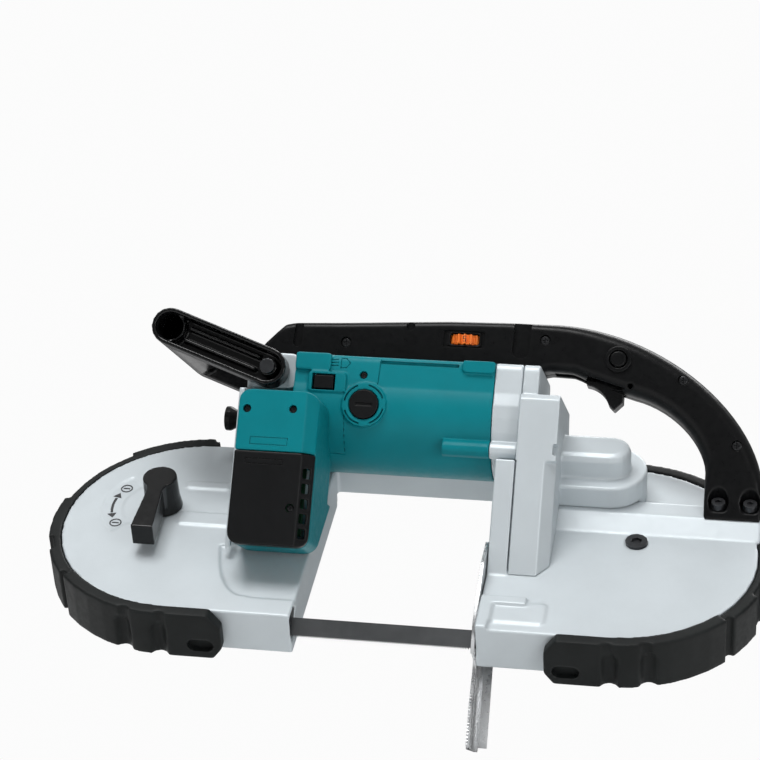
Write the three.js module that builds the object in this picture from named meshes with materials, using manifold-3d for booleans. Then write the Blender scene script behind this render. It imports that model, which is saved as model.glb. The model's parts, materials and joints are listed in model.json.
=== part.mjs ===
// Portable deep-cut band saw: a die-cast frame with two band wheels whose plane is tilted
// 45 degrees to the cutting direction, so that long stock passes clear of the saw body.
//
// Frame of the part, in millimetres: X along the blade, Y away from the user's side, Z up,
// opposite to the feed. The origin is the middle of the cutting span, on the tooth line.
//
// Most pieces are drawn in the wheel plane: x along the blade, p up the plane and n out of its
// closed front face. Upright pieces are drawn in x, y, z and turned into that plane's axes.
import * as THREE from 'three';
import { mergeVertices } from 'three/addons/utils/BufferGeometryUtils.js';
import { ConvexGeometry } from 'three/addons/geometries/ConvexGeometry.js';
import Module from 'manifold-3d';

const wasm = await Module();
wasm.setup();

// ---------------------------------------------------------------- driving dimensions
const GAP = 0.3;                      // between neighbouring pieces
const FLATNESS = 0.27;                // how far a chord may stay inside the arc it stands for
const TILT = Math.PI / 4;             // wheel plane against the cutting direction

const BLADE = { width: 13, thick: 0.6 };
const EDGE_RELIEF = 0.1;              // how far the toothed edge stands back outside the throat
const LOOP_RADIUS = 84;               // blade centre line round a wheel
const WHEEL_P = LOOP_RADIUS;          // wheel centres, so that the cutting span lies at p = 0
const DRIVE_X = 151;
const IDLER_X = -155.5;
const TENSION_TRAVEL = 5;

const LOBE = { x: 151.6, p: 88, radius: 94.5 };
const FRAME = { front: 14.6, back: -18, plate: 3.2, wall: 2.8, throat: 63, roof: 164, barBack: -8 };
const LOW = LOBE.p - LOBE.radius;     // lowest edge of the frame
const HIGH = LOBE.p + LOBE.radius;
const RIDGE = { top: 22, foot: 107, shoulder: 121.5, back: 136, backFoot: 140 };

const MOTOR = {
  y: 78, z: 168.5, radius: 42.5, top: 204.6, x0: -85.7, x1: 57, wall: 3,
  creaseRise: 14, shoulderStep: 1.2, corner: 5,
};
const BRUSH_X = -33.6;
const SEAM_X = 77;                    // gear case to the left, gear housing to the right
const COLUMN = { front: 27, rear: 115, bottom: 20, top: 134.6 };
const HOUSING = { right: 105, top: 182, ringRight: 88.5 };

const LAYSHAFT = { p: 150.5, n: 43, radius: 4.5, bearing: 8, x0: 69 };
const SPINDLE_RADIUS = 5;
const CROWN_BACK = 29.3;
const DOME = { x: 139.5, lower: 25.5, lowerTop: 39.4, upper: 14.2, upperTop: 58 };
const TEETH = { motor: 8, first: 26, bevelPinion: 8, bevel: 18, spur: 7, wheel: 44 };
const BEVEL_CONTACT_N = 34.5;         // height of the bevel pitch line over the wheel plane

const COVER = {
  x0: -113.5, x1: -58, front: -8, bottom: 60, top: 168, split: 125, vent: 3.3, corner: 8, wall: 2.4,
};
const VENTS = { count: 5, z0: 66.5, pitch: 10.4, height: 6.4, half: 3 };
const SADDLE = { x0: -121.5, x1: -86, y0: 46, y1: 139.5, z0: 179, z1: 204.6 };
const HANDLE = { y: 86, half: 17, bottom: 205, wall: 3.2, hole: { x: 149.5, z: 198.6, radius: 2 } };
const LOOP_HANDLE = {
  x0: -178, z0: 216.8, x1: -104.3, z1: 191.3, radius: 13.4, arm: 17, wall: 3,
  nearFront: SADDLE.y0 - GAP - 17, farFront: SADDLE.y1 + GAP,   // where the two arms begin
};
const LEVER = { x: -178.5, p: 105.5, tip: 55, top: 42, shaft: 5, neckHalf: 7, tipHalf: 7.6 };
const STOP = {
  x: 60.2, thick: 2.5, back: 58, bottom: -66, top: 77, shoulder: 60,   // the plate
  hook: -4.5, slot0: -2.2, slot1: 3, slotTop: 15.5,                    // round the blade
  flange: 6, flangeTop: 2, travel: 30,
};

const TYRE = { thick: 2.4, back: -4.2, front: 6.3 };
const RIM = { thick: 1.5, front: 6.7 };
const WEB = { back: -5.2, front: -2.7, holes: 5, holeRadius: 11, holeCircle: 32 };
const HUB_RADIUS = 13;
const AXLE_RADIUS = 6;
const BUSH_OUTER = 8;
const AXLE = { back: -9.2, seat: -7.6 };
const GEAR = { back: -2.4, front: 4.3, bore: 50 };

const ARMATURE = { shaft: 4, commutator: 11, core: 19.5, coreX0: -14, coreX1: 36 };
const FAN = { x0: 44, depth: 10, radius: 32, hub: 9, vanes: 9 };
const FRONT_BEARING = 13;             // outer radii of the armature's bearings
const REAR_BEARING = 11;
const STATOR = { outer: 32.6, bore: 20.5, x0: -16, x1: 38 };
const SPRING = {
  p: 58, n: 6.6, from: -146, to: -126.5, coil: 3.2, wire: 0.65, turns: 5, post: -122, postRadius: 4,
};
const CAM = { offset: TENSION_TRAVEL / 2, radius: 3 };
const CARRIAGE = { back: 7.4, front: 11, x0: -187, x1: -147.5, p0: 50, p1: 116 };
const GUIDE = { x0: 64, x1: 80, z0: 3.6, z1: 19.6, half: 4.2, slot: 0.75, twistEnd: 112 };
const GUIDE_RIB = { reach: 31, width: 8, p0: 20, p1: 28, height: 3 };
const BACKUP = { x: 71.5, radius: 3.6, half: 2.2 };
const STOP_SCREW = { radius: 2.5, head: 4.5, sink: 1.5, end: 70 };
const STOP_SCREWS = [{ y: 24, z: 24 }, { y: 40, z: 40 }];
const COVER_BOLT = { x: 161.9, p: 98.5, shank: 4, head: 7.8 };
const HANDLE_BOLT = { p: 129.5, xs: [216, 238], shank: 3, head: 5, seat: 26, bore: 7 };
const TRIGGER = { x0: 117, x1: 145, half: 7 };
const LOCK = { x: 140, z: 217, radius: 6, ring: 9.5, face: 66 };
const DIAL = { x: 29.3, y: 79.4, z: 226, radius: 12, thick: 7, frame: 13 };
const SWITCH = { x: -64, z: 183.5, width: 14, height: 9.4, face: 35.6, depth: 8.4 };
const BRUSH_CAP = { face: 32.2, ringFace: 33.4, ringRadius: 16, seat: 11, bore: 8.3, depth: 43 };
const LAMP = { y: 52, z: 100, radius: 7, x0: 63.2, x1: 66 };
const LOOP_BOLT = { radius: 4, head: 5.5, headDepth: 3 };
const LUG = { x0: 205, x1: 246.5 };
const BUMPER = {
  inner: 94.9, thin: 100.5, thick: 104.5, back: -20, front: 17.4,
  start: 110, slotX: 129, grooves: [152, 178], pads: [[-38, -22], [-14, 12], [50, 86]],
};
const BOSS = { y: 40, z: 142, radius: 6 };   // screw bosses along X beside the motor

// ---------------------------------------------------------------- materials
const paint = (color, roughness, metalness) =>
  new THREE.MeshStandardMaterial({ color, roughness, metalness });
const SILVER_PAINT = paint(0xc9cfd2, 0.42, 0.35);
const TEAL_PLASTIC = paint(0x067a86, 0.45, 0);
const BLACK_PLASTIC = paint(0x17191a, 0.38, 0);
const BLACK_RUBBER = paint(0x1e2021, 0.75, 0);
const STEEL = paint(0xa8abad, 0.35, 0.95);
const DARK_STEEL = paint(0x3a3d3f, 0.45, 0.9);
const BRASS = paint(0xb08d47, 0.35, 0.9);
const COPPER = paint(0xa85f35, 0.4, 0.8);
const CARBON = paint(0x2b2b2c, 0.8, 0.1);
const ORANGE_PLASTIC = paint(0xef7f22, 0.45, 0);
const BOARD_GREEN = paint(0x1f5a35, 0.6, 0);
const LENS = paint(0xe8eef0, 0.1, 0);

// ---------------------------------------------------------------- solids and booleans
function solidOf(geometry) {
  const bare = geometry.clone();
  bare.deleteAttribute('normal');
  bare.deleteAttribute('uv');
  const merged = mergeVertices(bare, 1e-4);
  const mesh = new wasm.Mesh({
    numProp: 3,
    vertProperties: new Float32Array(merged.attributes.position.array),
    triVerts: new Uint32Array(merged.index.array),
  });
  return new wasm.Manifold(mesh);
}

function geometryOf(solid) {
  const { vertProperties, triVerts } = solid.getMesh();
  const geometry = new THREE.BufferGeometry();
  geometry.setAttribute('position', new THREE.BufferAttribute(vertProperties, 3));
  geometry.setIndex(new THREE.BufferAttribute(triVerts, 1));
  return geometry;
}

function join(...pieces) {
  return geometryOf(pieces.map(solidOf).reduce((whole, piece) => whole.add(piece)));
}

function cut(body, ...tools) {
  return geometryOf(tools.map(solidOf).reduce((rest, tool) => rest.subtract(tool), solidOf(body)));
}

function common(a, b) {
  return geometryOf(solidOf(a).intersect(solidOf(b)));
}

// ---------------------------------------------------------------- primitive shapes
const X_AXIS = new THREE.Vector3(1, 0, 0);
const Y_AXIS = new THREE.Vector3(0, 1, 0);
const Z_AXIS = new THREE.Vector3(0, 0, 1);
const Z_TO_X = new THREE.Matrix4().makeBasis(Y_AXIS, Z_AXIS, X_AXIS);
const Z_TO_BACK = new THREE.Matrix4().makeBasis(X_AXIS, Z_AXIS, Y_AXIS.clone().negate());
const Z_TO_Y = new THREE.Matrix4().makeBasis(X_AXIS, Z_AXIS.clone().negate(), Y_AXIS);

function block(x0, x1, y0, y1, z0, z1) {
  const geometry = new THREE.BoxGeometry(x1 - x0, y1 - y0, z1 - z0);
  return geometry.translate((x0 + x1) / 2, (y0 + y1) / 2, (z0 + z1) / 2);
}

// The number of chords that keep a stretch of arc within FLATNESS of the true curve.
function chords(radius, angle) {
  const step = 2 * Math.acos(1 - FLATNESS / radius);
  return Math.max(2, Math.ceil(Math.abs(angle) / step));
}

// An outline raised along the third axis of its plane.
function prism(shape, from, to) {
  const geometry = new THREE.ExtrudeGeometry(shape, {
    depth: to - from, bevelEnabled: false, curveSegments: 10,
  });
  return geometry.translate(0, 0, from);
}

// An outline drawn in (y, z), raised along X.
function prismX(shape, x0, x1) {
  return prism(shape, x0, x1).applyMatrix4(Z_TO_X);
}

// An outline drawn in (x, z), raised along Y.
function prismY(shape, y0, y1) {
  return prism(shape, -y1, -y0).applyMatrix4(Z_TO_BACK);
}

// A solid of revolution about the third axis; the profile lists [radius, height].
function turned(profile) {
  const points = profile.map(([radius, height]) => new THREE.Vector2(radius, height));
  const widest = Math.max(...profile.map(([radius]) => radius));
  return new THREE.LatheGeometry(points, chords(widest, 2 * Math.PI)).rotateX(Math.PI / 2);
}

function rod(radius, from, to) {
  return turned([[0, from], [radius, from], [radius, to], [0, to]]);
}

function ring(outer, inner, from, to) {
  return turned([[inner, from], [outer, from], [outer, to], [inner, to], [inner, from]]);
}

const toX = (geometry, y, z) => geometry.applyMatrix4(Z_TO_X).translate(0, y, z);

// Turns a shape made along the third axis to lie along Y.
const toY = (geometry, x, z) => geometry.applyMatrix4(Z_TO_Y).translate(x, 0, z);

// Adds the points of an arc, both ends included, to an outline.
function addArc(shape, x, y, radius, from, to) {
  const steps = chords(radius, to - from);
  for (let step = 0; step <= steps; step += 1) {
    const angle = from + (to - from) * step / steps;
    const point = [x + radius * Math.cos(angle), y + radius * Math.sin(angle)];
    if (shape.curves.length === 0 && step === 0) {
      shape.moveTo(...point);
    } else {
      shape.lineTo(...point);
    }
  }
}

function circle(x, y, radius) {
  const shape = new THREE.Shape();
  const step = 2 * Math.PI / chords(radius, 2 * Math.PI);
  addArc(shape, x, y, radius, 0, 2 * Math.PI - step);
  return shape;
}

function rectangle(x0, x1, y0, y1, corner) {
  const shape = new THREE.Shape();
  addArc(shape, x1 - corner, y0 + corner, corner, -Math.PI / 2, 0);
  addArc(shape, x1 - corner, y1 - corner, corner, 0, Math.PI / 2);
  addArc(shape, x0 + corner, y1 - corner, corner, Math.PI / 2, Math.PI);
  addArc(shape, x0 + corner, y0 + corner, corner, Math.PI, 1.5 * Math.PI);
  return shape;
}

// Two half circles joined by straight sides.
function stadium(x0, y0, x1, y1, radius) {
  const along = Math.atan2(y1 - y0, x1 - x0);
  const shape = new THREE.Shape();
  addArc(shape, x1, y1, radius, along - Math.PI / 2, along + Math.PI / 2);
  addArc(shape, x0, y0, radius, along + Math.PI / 2, along + 1.5 * Math.PI);
  return shape;
}

function polygon(points) {
  return new THREE.Shape(points.map(([u, v]) => new THREE.Vector2(u, v)));
}

// ---------------------------------------------------------------- the tilted wheel plane
const sawPlane = new THREE.Group();
sawPlane.position.set(0, 0, BLADE.width / 2);
sawPlane.rotation.x = TILT;
sawPlane.updateMatrix();
const INTO_PLANE = sawPlane.matrix.clone().invert();

const inPlane = (geometry) => geometry.applyMatrix4(INTO_PLANE);
const outOfPlane = (geometry) => geometry.applyMatrix4(sawPlane.matrix);

function planeCoordinates(y, z) {
  const point = new THREE.Vector3(0, y, z).applyMatrix4(INTO_PLANE);
  return { p: point.y, n: point.z };
}

const motorAxis = planeCoordinates(MOTOR.y, MOTOR.z);
const layshaftPoint = new THREE.Vector3(0, LAYSHAFT.p, LAYSHAFT.n).applyMatrix4(sawPlane.matrix);
const layshaftAxis = { y: layshaftPoint.y, z: layshaftPoint.z };

// ---------------------------------------------------------------- assembly
const saw = new THREE.Group();
saw.add(sawPlane);

function addTo(group, name, geometry, material) {
  const mesh = new THREE.Mesh(geometry, material);
  mesh.name = name;
  group.add(mesh);
}

const addUpright = (name, geometry, material) => addTo(saw, name, geometry, material);
const addTilted = (name, geometry, material) => addTo(sawPlane, name, geometry, material);

// ---------------------------------------------------------------- frame
// The bridge-shaped outline of the casting, moved inwards by `inset`.
function frameOutline(inset) {
  const low = LOW + inset;
  const throat = FRAME.throat + inset;
  const roof = FRAME.roof + inset;
  const radius = LOBE.radius - inset;
  const shape = new THREE.Shape();
  addArc(shape, -LOBE.x, LOBE.p, radius, 1.5 * Math.PI, 0.5 * Math.PI);
  addArc(shape, LOBE.x, LOBE.p, radius, 0.5 * Math.PI, -0.5 * Math.PI);
  shape.lineTo(throat, low);
  shape.lineTo(throat, roof);
  shape.lineTo(-throat, roof);
  shape.lineTo(-throat, low);
  return shape;
}

// Cross-section of the raised band over the drive lobe, grown by `gap`.
function ridgeSection(gap) {
  const base = FRAME.front - FRAME.plate;
  const { foot, shoulder, back, backFoot, top } = RIDGE;
  return polygon([
    [foot - gap, base],
    [foot - gap, FRAME.front + gap],
    [shoulder - gap, top + gap],
    [back + gap, top + gap],
    [backFoot + gap, FRAME.front + gap],
    [backFoot + gap, base],
  ]);
}

// Everything the castings fill in front of the wheel plane, as a tool for seating neighbours.
function plateClearance() {
  const plate = block(-300, 300, -60, 260, -60, FRAME.front + GAP);
  return join(plate, prismX(ridgeSection(GAP), SEAM_X - 1, 260));
}

// Cross-section of the motor casing: round below, with straight sides and a flat top.
function motorSection(grow) {
  const { y, z, creaseRise, shoulderStep, corner } = MOTOR;
  const radius = MOTOR.radius + grow;
  const top = MOTOR.top + grow;
  const crease = Math.asin(creaseRise / radius);
  const side = radius * Math.cos(crease) - shoulderStep;
  const shape = new THREE.Shape();
  addArc(shape, y, z, radius, Math.PI - crease, 2 * Math.PI + crease);
  addArc(shape, y + side - corner, top - corner, corner, 0, Math.PI / 2);
  addArc(shape, y - side + corner, top - corner, corner, Math.PI / 2, Math.PI);
  return shape;
}

// The upright on the right of the throat, a wedge between the plate and the motor.
function column() {
  const upright = block(FRAME.throat, SEAM_X - GAP, COLUMN.front, COLUMN.rear, COLUMN.bottom, COLUMN.top);
  const abovePlate = block(0, 200, 0, 250, FRAME.front - 2, 120);
  const wedge = common(inPlane(upright), abovePlate);
  return cut(wedge, inPlane(prismX(motorSection(GAP), 0, 120)));
}

// The web left of the motor, the saddle on it that carries the loop handle, and its brace.
function leftUpright() {
  const { x0, x1, y0, y1, z0, z1 } = SADDLE;
  const webOutline = polygon([
    [22, 40], [23.5, 60], [23.5, 174], [y0 + 0.4, 178], [y0 + 0.4, 188], [100, 188], [120, 130], [60, 40],
  ]);
  const braceOutline = polygon([[88, 90], [88, z0 + 3], [136, z0 + 3], [136, 155], [112, 120]]);
  const saddle = prismY(rectangle(x0, x1, z0, z1, 4), y0, y1);
  const upright = inPlane(join(prismX(webOutline, x0, x0 + 4), saddle, prismX(braceOutline, x0, x1)));
  const abovePlate = block(-200, 0, 0, 300, FRAME.front - 2, 200);
  const boltHole = toY(rod(LOOP_BOLT.radius + GAP, 30, 160), LOOP_HANDLE.x1, LOOP_HANDLE.z1);
  return cut(common(upright, abovePlate), inPlane(boltHole));
}

// The lug that carries the foot of the grip, past the round of the drive lobe.
function gripLug(gap) {
  return prismX(ridgeSection(gap), LUG.x0 - gap, LUG.x1 + gap);
}

// The mirror image, through x = 0, of a shape that a boolean has made.
function mirrored(geometry) {
  const flipped = geometry.clone().scale(-1, 1, 1);
  const index = flipped.index.array;
  for (let corner = 0; corner < index.length; corner += 3) {
    [index[corner], index[corner + 1]] = [index[corner + 1], index[corner]];
  }
  return flipped;
}

const onSide = (geometry, side) => (side > 0 ? geometry : mirrored(geometry));

// Room in the frame for a blade guide and for the twisted blade that leaves it.
function guideRelief(side) {
  const inner = FRAME.throat - 1;
  const { x0, x1, z0, z1, half, twistEnd } = GUIDE;
  const twist = block(inner, twistEnd, LOW + 1.2, LOW + 12, -9, FRAME.front - FRAME.plate);
  const window = inPlane(block(inner, x0 + 4, -half - GAP, half + GAP, z0 - 3, z1 + GAP));
  const seat = inPlane(block(x0 - 1, x1 + 1, -half - 0.8, half + 0.8, z0 - 0.5, z1 + 0.5));
  return onSide(join(twist, window, seat), side);
}

// The raised L-shaped rib round the right-hand guide.
function guideRib() {
  const { throat, front } = FRAME;
  return join(
    block(throat, throat + GUIDE_RIB.reach, GUIDE_RIB.p0, GUIDE_RIB.p1, front - 1, front + GUIDE_RIB.height),
    block(throat, throat + GUIDE_RIB.width, LOW, GUIDE_RIB.p1, front - 1, front + GUIDE_RIB.height),
  );
}

// The holes of the frame that take shafts, bolts, screws and the lamp.
function frameHoles() {
  const { front } = FRAME;
  const holes = [
    rod(AXLE_RADIUS + GAP, -20, front - 1.5).translate(DRIVE_X, WHEEL_P, 0),
    rod(BUSH_OUTER + GAP, 0, RIDGE.top + 5).translate(DOME.x, LAYSHAFT.p, 0),
    rod(LEVER.shaft + GAP, 0, front + 5).translate(LEVER.x, LEVER.p, 0),
    rod(COVER_BOLT.shank + 0.4, 0, front + 5).translate(COVER_BOLT.x, COVER_BOLT.p, 0),
    rod(COVER_BOLT.head + 0.4, front - 1.2, front + 5).translate(COVER_BOLT.x, COVER_BOLT.p, 0),
    inPlane(toX(rod(LAMP.radius + GAP, 60, LAMP.x1 + GAP), LAMP.y, LAMP.z)),
  ];
  for (const x of HANDLE_BOLT.xs) {
    holes.push(rod(HANDLE_BOLT.shank + GAP, 0, 40).translate(x, HANDLE_BOLT.p, 0));
  }
  for (const { y, z } of STOP_SCREWS) {
    holes.push(inPlane(toX(rod(STOP_SCREW.radius + GAP, 60, STOP_SCREW.end + 1), y, z)));
  }
  return holes;
}

function mainFrame() {
  const { front, back, plate, wall, throat, roof, barBack } = FRAME;
  const shell = cut(
    prism(frameOutline(0), back, front),
    prism(frameOutline(wall), back - 1, front - plate),
    block(-throat - 1, throat + 1, roof - 4, HIGH + 1, back - 1, barBack),
  );
  const ridge = common(
    prismX(ridgeSection(0), throat, 260),
    prism(frameOutline(0), back, RIDGE.top + 1),
  );
  const axleBoss = rod(AXLE_RADIUS * 2, front - plate - 3, front - 1).translate(DRIVE_X, WHEEL_P, 0);
  const springPost = rod(SPRING.postRadius, 3, front - 1).translate(SPRING.post, SPRING.p, 0);
  const body = join(
    shell, ridge, axleBoss, springPost, guideRib(), gripLug(0), column(), leftUpright(),
  );
  return cut(body, ...frameHoles(), guideRelief(1), guideRelief(-1));
}

// ---------------------------------------------------------------- gears
// A straight-toothed gear outline with slack between its teeth and a mate's; the first tooth
// points along `phase`.
function gearOutline(teeth, pitchRadius, phase) {
  const moduleSize = 2 * pitchRadius / teeth;
  const pitch = 2 * Math.PI / teeth;
  const tip = pitchRadius + 0.75 * moduleSize;
  const root = pitchRadius - 1.05 * moduleSize;
  const corners = [[root, -0.26], [tip, -0.11], [tip, 0.11], [root, 0.26]];
  const points = [];
  for (let tooth = 0; tooth < teeth; tooth += 1) {
    for (const [radius, offset] of corners) {
      const angle = phase + (tooth + offset) * pitch;
      points.push([radius * Math.cos(angle), radius * Math.sin(angle)]);
    }
  }
  return polygon(points);
}

// Shrinks a solid made along the third axis towards an apex at the height `apex`.
function tapered(geometry, from, apex) {
  const position = geometry.attributes.position;
  for (let i = 0; i < position.count; i += 1) {
    const scale = (apex - position.getZ(i)) / (apex - from);
    position.setX(i, position.getX(i) * scale);
    position.setY(i, position.getY(i) * scale);
  }
  return geometry;
}

// The crown wheel of the bevel pair: a shallow cone with wedge-shaped teeth standing on it.
function crownWheel(teeth, radius, from, contact, apex, phase) {
  const face = 4;
  const inner = radius - face;
  const rise = apex - contact;
  const pitchHeight = (r) => apex - rise * r / radius;
  const addendum = 0.45 * 2 * radius / teeth;
  const body = turned([
    [0, from], [radius + 1, from], [radius + 1, pitchHeight(radius) - 2.4],
    [inner - 0.5, pitchHeight(inner) - 2.4], [0, pitchHeight(inner) - 2.4],
  ]);
  const pieces = [body];
  for (let tooth = 0; tooth < teeth; tooth += 1) {
    const angle = phase + tooth * 2 * Math.PI / teeth;
    const corners = [];
    for (const r of [inner, radius + 0.8]) {
      const low = pitchHeight(r) - 3;
      const high = pitchHeight(r) + addendum * r / radius;
      const footHalf = 0.24 * 2 * Math.PI * r / teeth;
      const tipHalf = 0.09 * 2 * Math.PI * r / teeth;
      corners.push([r, -footHalf, low], [r, footHalf, low], [r, -tipHalf, high], [r, tipHalf, high]);
    }
    const wedge = new ConvexGeometry(corners.map((corner) => new THREE.Vector3(...corner)));
    pieces.push(wedge.rotateZ(angle));
  }
  return join(...pieces);
}

// ---------------------------------------------------------------- wheels and blade
const TYRE_OUTER = LOOP_RADIUS - BLADE.thick / 2 - 0.5;
const RIM_OUTER = TYRE_OUTER - TYRE.thick;

function addTyre(name, x) {
  const tyre = ring(TYRE_OUTER, RIM_OUTER + 0.05, TYRE.back, TYRE.front);
  addTilted(name, tyre.translate(x, WHEEL_P, 0), BLACK_RUBBER);
}

// Rim, dished web and hub in one turned body, with lightening holes in the web.
function wheel(hubFront, x) {
  const inner = RIM_OUTER - RIM.thick;
  const bore = BUSH_OUTER + GAP;
  const body = turned([
    [bore, WEB.back - 2], [HUB_RADIUS, WEB.back - 2], [HUB_RADIUS, WEB.back], [RIM_OUTER, WEB.back],
    [RIM_OUTER, RIM.front], [inner, RIM.front], [inner, WEB.front], [HUB_RADIUS, WEB.front],
    [HUB_RADIUS, hubFront], [bore, hubFront], [bore, WEB.back - 2],
  ]);
  const holes = [];
  for (let hole = 0; hole < WEB.holes; hole += 1) {
    const angle = (hole + 0.5) * 2 * Math.PI / WEB.holes;
    const drill = rod(WEB.holeRadius, WEB.back - 1, WEB.front + 1);
    holes.push(drill.translate(WEB.holeCircle * Math.cos(angle), WEB.holeCircle * Math.sin(angle), 0));
  }
  return cut(body, ...holes).translate(x, WHEEL_P, 0);
}

// The blade lies flat on the wheel rims and turns upright between a wheel and its guide.
function twistAt(x) {
  const share = (DRIVE_X - Math.abs(x)) / (DRIVE_X - GUIDE.x1);
  return -TILT * THREE.MathUtils.smoothstep(share, 0, 1);
}

// Stations round the loop: a point on the centre line, the outward normal there, the twist, and how
// far the toothed edge stands back. Across the throat it stands out, which makes it a face of its own.
function bladeStations() {
  const stations = [];
  const arcSteps = 20;
  for (const [centre, start] of [[DRIVE_X, -Math.PI / 2], [IDLER_X, Math.PI / 2]]) {
    for (let step = 0; step <= arcSteps; step += 1) {
      const angle = start + Math.PI * step / arcSteps;
      const x = centre + LOOP_RADIUS * Math.cos(angle);
      const p = WHEEL_P + LOOP_RADIUS * Math.sin(angle);
      stations.push({ x, p, angle, twist: 0 });
    }
  }
  const twistSteps = 10;
  for (let step = 1; step <= twistSteps; step += 1) {
    const x = THREE.MathUtils.lerp(IDLER_X, -GUIDE.x1, step / twistSteps);
    stations.push({ x, p: 0, angle: -Math.PI / 2, twist: twistAt(x) });
  }
  const span = FRAME.throat - 0.2;
  for (const [x, trim] of [[-span - 1, EDGE_RELIEF], [-span, 0], [span, 0], [span + 1, EDGE_RELIEF]]) {
    stations.push({ x, p: 0, angle: -Math.PI / 2, twist: -TILT, trim });
  }
  for (let step = 0; step < twistSteps; step += 1) {
    const x = THREE.MathUtils.lerp(GUIDE.x1, DRIVE_X, step / twistSteps);
    stations.push({ x, p: 0, angle: -Math.PI / 2, twist: twistAt(x) });
  }
  return stations;
}

// A closed band with a rectangular section, built as a ring of four-cornered stations.
function bandLoop(stations, width, thick) {
  const corners = [[-1, -1], [1, -1], [1, 1], [-1, 1]];
  const positions = [];
  const index = [];
  stations.forEach(({ x, p, angle, twist, trim = EDGE_RELIEF }, station) => {
    for (const [side, face] of corners) {
      const along = side < 0 ? trim - width / 2 : width / 2;
      const out = face * thick / 2;
      const radial = out * Math.cos(twist) + along * Math.sin(twist);
      const n = along * Math.cos(twist) - out * Math.sin(twist);
      positions.push(x + radial * Math.cos(angle), p + radial * Math.sin(angle), n);
    }
    const here = station * 4;
    const next = ((station + 1) % stations.length) * 4;
    for (let corner = 0; corner < 4; corner += 1) {
      const other = (corner + 1) % 4;
      index.push(here + corner, here + other, next + other, here + corner, next + other, next + corner);
    }
  });
  const geometry = new THREE.BufferGeometry();
  geometry.setAttribute('position', new THREE.Float32BufferAttribute(positions, 3));
  geometry.setIndex(index);
  return geometry;
}

// A wheel's axle with its retaining head, up to the height `to`.
function axlePin(to) {
  const head = HUB_RADIUS - 3;
  return turned([
    [0, AXLE.back], [head, AXLE.back], [head, AXLE.seat],
    [AXLE_RADIUS, AXLE.seat], [AXLE_RADIUS, to], [0, to],
  ]);
}

function addBandWheels() {
  addTilted('drive_wheel', wheel(2, DRIVE_X), SILVER_PAINT);
  addTyre('drive_tyre', DRIVE_X);
  addTilted('idler_wheel', wheel(5, IDLER_X), SILVER_PAINT);
  addTyre('idler_tyre', IDLER_X);
  for (const [name, x] of [['drive', DRIVE_X], ['idler', IDLER_X]]) {
    const bush = ring(BUSH_OUTER, AXLE_RADIUS + GAP, WEB.back - 2, 2);
    addTilted(`${name}_wheel_bush`, bush.translate(x, WHEEL_P, 0), BRASS);
  }
  addTilted('drive_axle', axlePin(FRAME.front - 1.8).translate(DRIVE_X, WHEEL_P, 0), STEEL);
  addTilted('blade', bandLoop(bladeStations(), BLADE.width, BLADE.thick), DARK_STEEL);
}

// ---------------------------------------------------------------- blade tension
// The slider under the plate that carries the idler axle, with the slot the lever's cam works in.
function tensionCarriage() {
  const { back, front, x0, x1, p0, p1 } = CARRIAGE;
  const slider = prism(rectangle(x0, x1, p0, p1, 6), back, front);
  const pin = axlePin(back + 1).translate(IDLER_X, WHEEL_P, 0);
  const springSeat = block(SPRING.from - 3, SPRING.from - GAP, SPRING.p - 5, SPRING.p + 5, 2.4, back + 1);
  const slot = stadium(LEVER.x, LEVER.p - 3, LEVER.x, LEVER.p + 3, CAM.radius + 0.9);
  return cut(join(slider, pin, springSeat), prism(slot, 0, front + 5).translate(-CAM.offset, 0, 0));
}

function tensionSpring() {
  const { from, to, wire, coil, turns, p, n } = SPRING;
  const perTurn = 8;
  const start = from + wire;
  const length = to - from - 2 * wire;
  const points = [];
  for (let step = 0; step <= turns * perTurn; step += 1) {
    const angle = 2 * Math.PI * step / perTurn;
    const x = start + length * step / (turns * perTurn);
    points.push(new THREE.Vector3(x, p + coil * Math.cos(angle), n + coil * Math.sin(angle)));
  }
  return new THREE.ExtrudeGeometry(circle(0, 0, wire), {
    steps: turns * perTurn, extrudePath: new THREE.CatmullRomCurve3(points), bevelEnabled: false,
  });
}

// The lever, its shaft through the frame and the eccentric pin that pushes the carriage.
function tensionLever() {
  const { top, tip, neckHalf, tipHalf, shaft } = LEVER;
  const base = FRAME.front + GAP;
  const flare = turned([[0, base], [14.5, base], [12.6, base + 9], [12, top - 3], [10.5, top], [0, top]]);
  const arm = prism(polygon([
    [-9, 0], [9, 0], [neckHalf, -14], [tipHalf, -tip], [-tipHalf, -tip], [-neckHalf, -14],
  ]), base + 4, top - 3);
  const slope = block(-20, 20, -tip - 5, -10, top - 6, top + 5);
  const axle = rod(shaft, CARRIAGE.front + GAP, base + 1);
  const cam = rod(CAM.radius, CARRIAGE.back + GAP, CARRIAGE.front + GAP + 0.05);
  return join(cut(join(flare, arm), slope), axle, cam.translate(-CAM.offset, 0, 0))
    .translate(LEVER.x, LEVER.p, 0);
}

function addTension() {
  addTilted('tension_carriage', tensionCarriage(), STEEL);
  addTilted('tension_spring', tensionSpring(), STEEL);
  addTilted('tension_lever', tensionLever(), BLACK_PLASTIC);
}

// ---------------------------------------------------------------- blade guides and stop plate
function guideBracket() {
  const { x0, x1, z0, z1, half, slot } = GUIDE;
  const body = block(x0, x1, -half, half, z0, z1);
  const lean = block(x0 - 1, x1 + 1, -half - 1, -3, z0 - 1, z0 + 4);
  const bladeSlot = block(x0 - 1, x1 + 1, -slot, slot, z0 - 1, BLADE.width + 0.8);
  const pocket = block(
    BACKUP.x - BACKUP.radius - 0.6, BACKUP.x + BACKUP.radius + 0.6,
    -BACKUP.half - GAP, BACKUP.half + GAP, BLADE.width, z1 + 1,
  );
  return cut(body, lean, bladeSlot, pocket);
}

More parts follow.
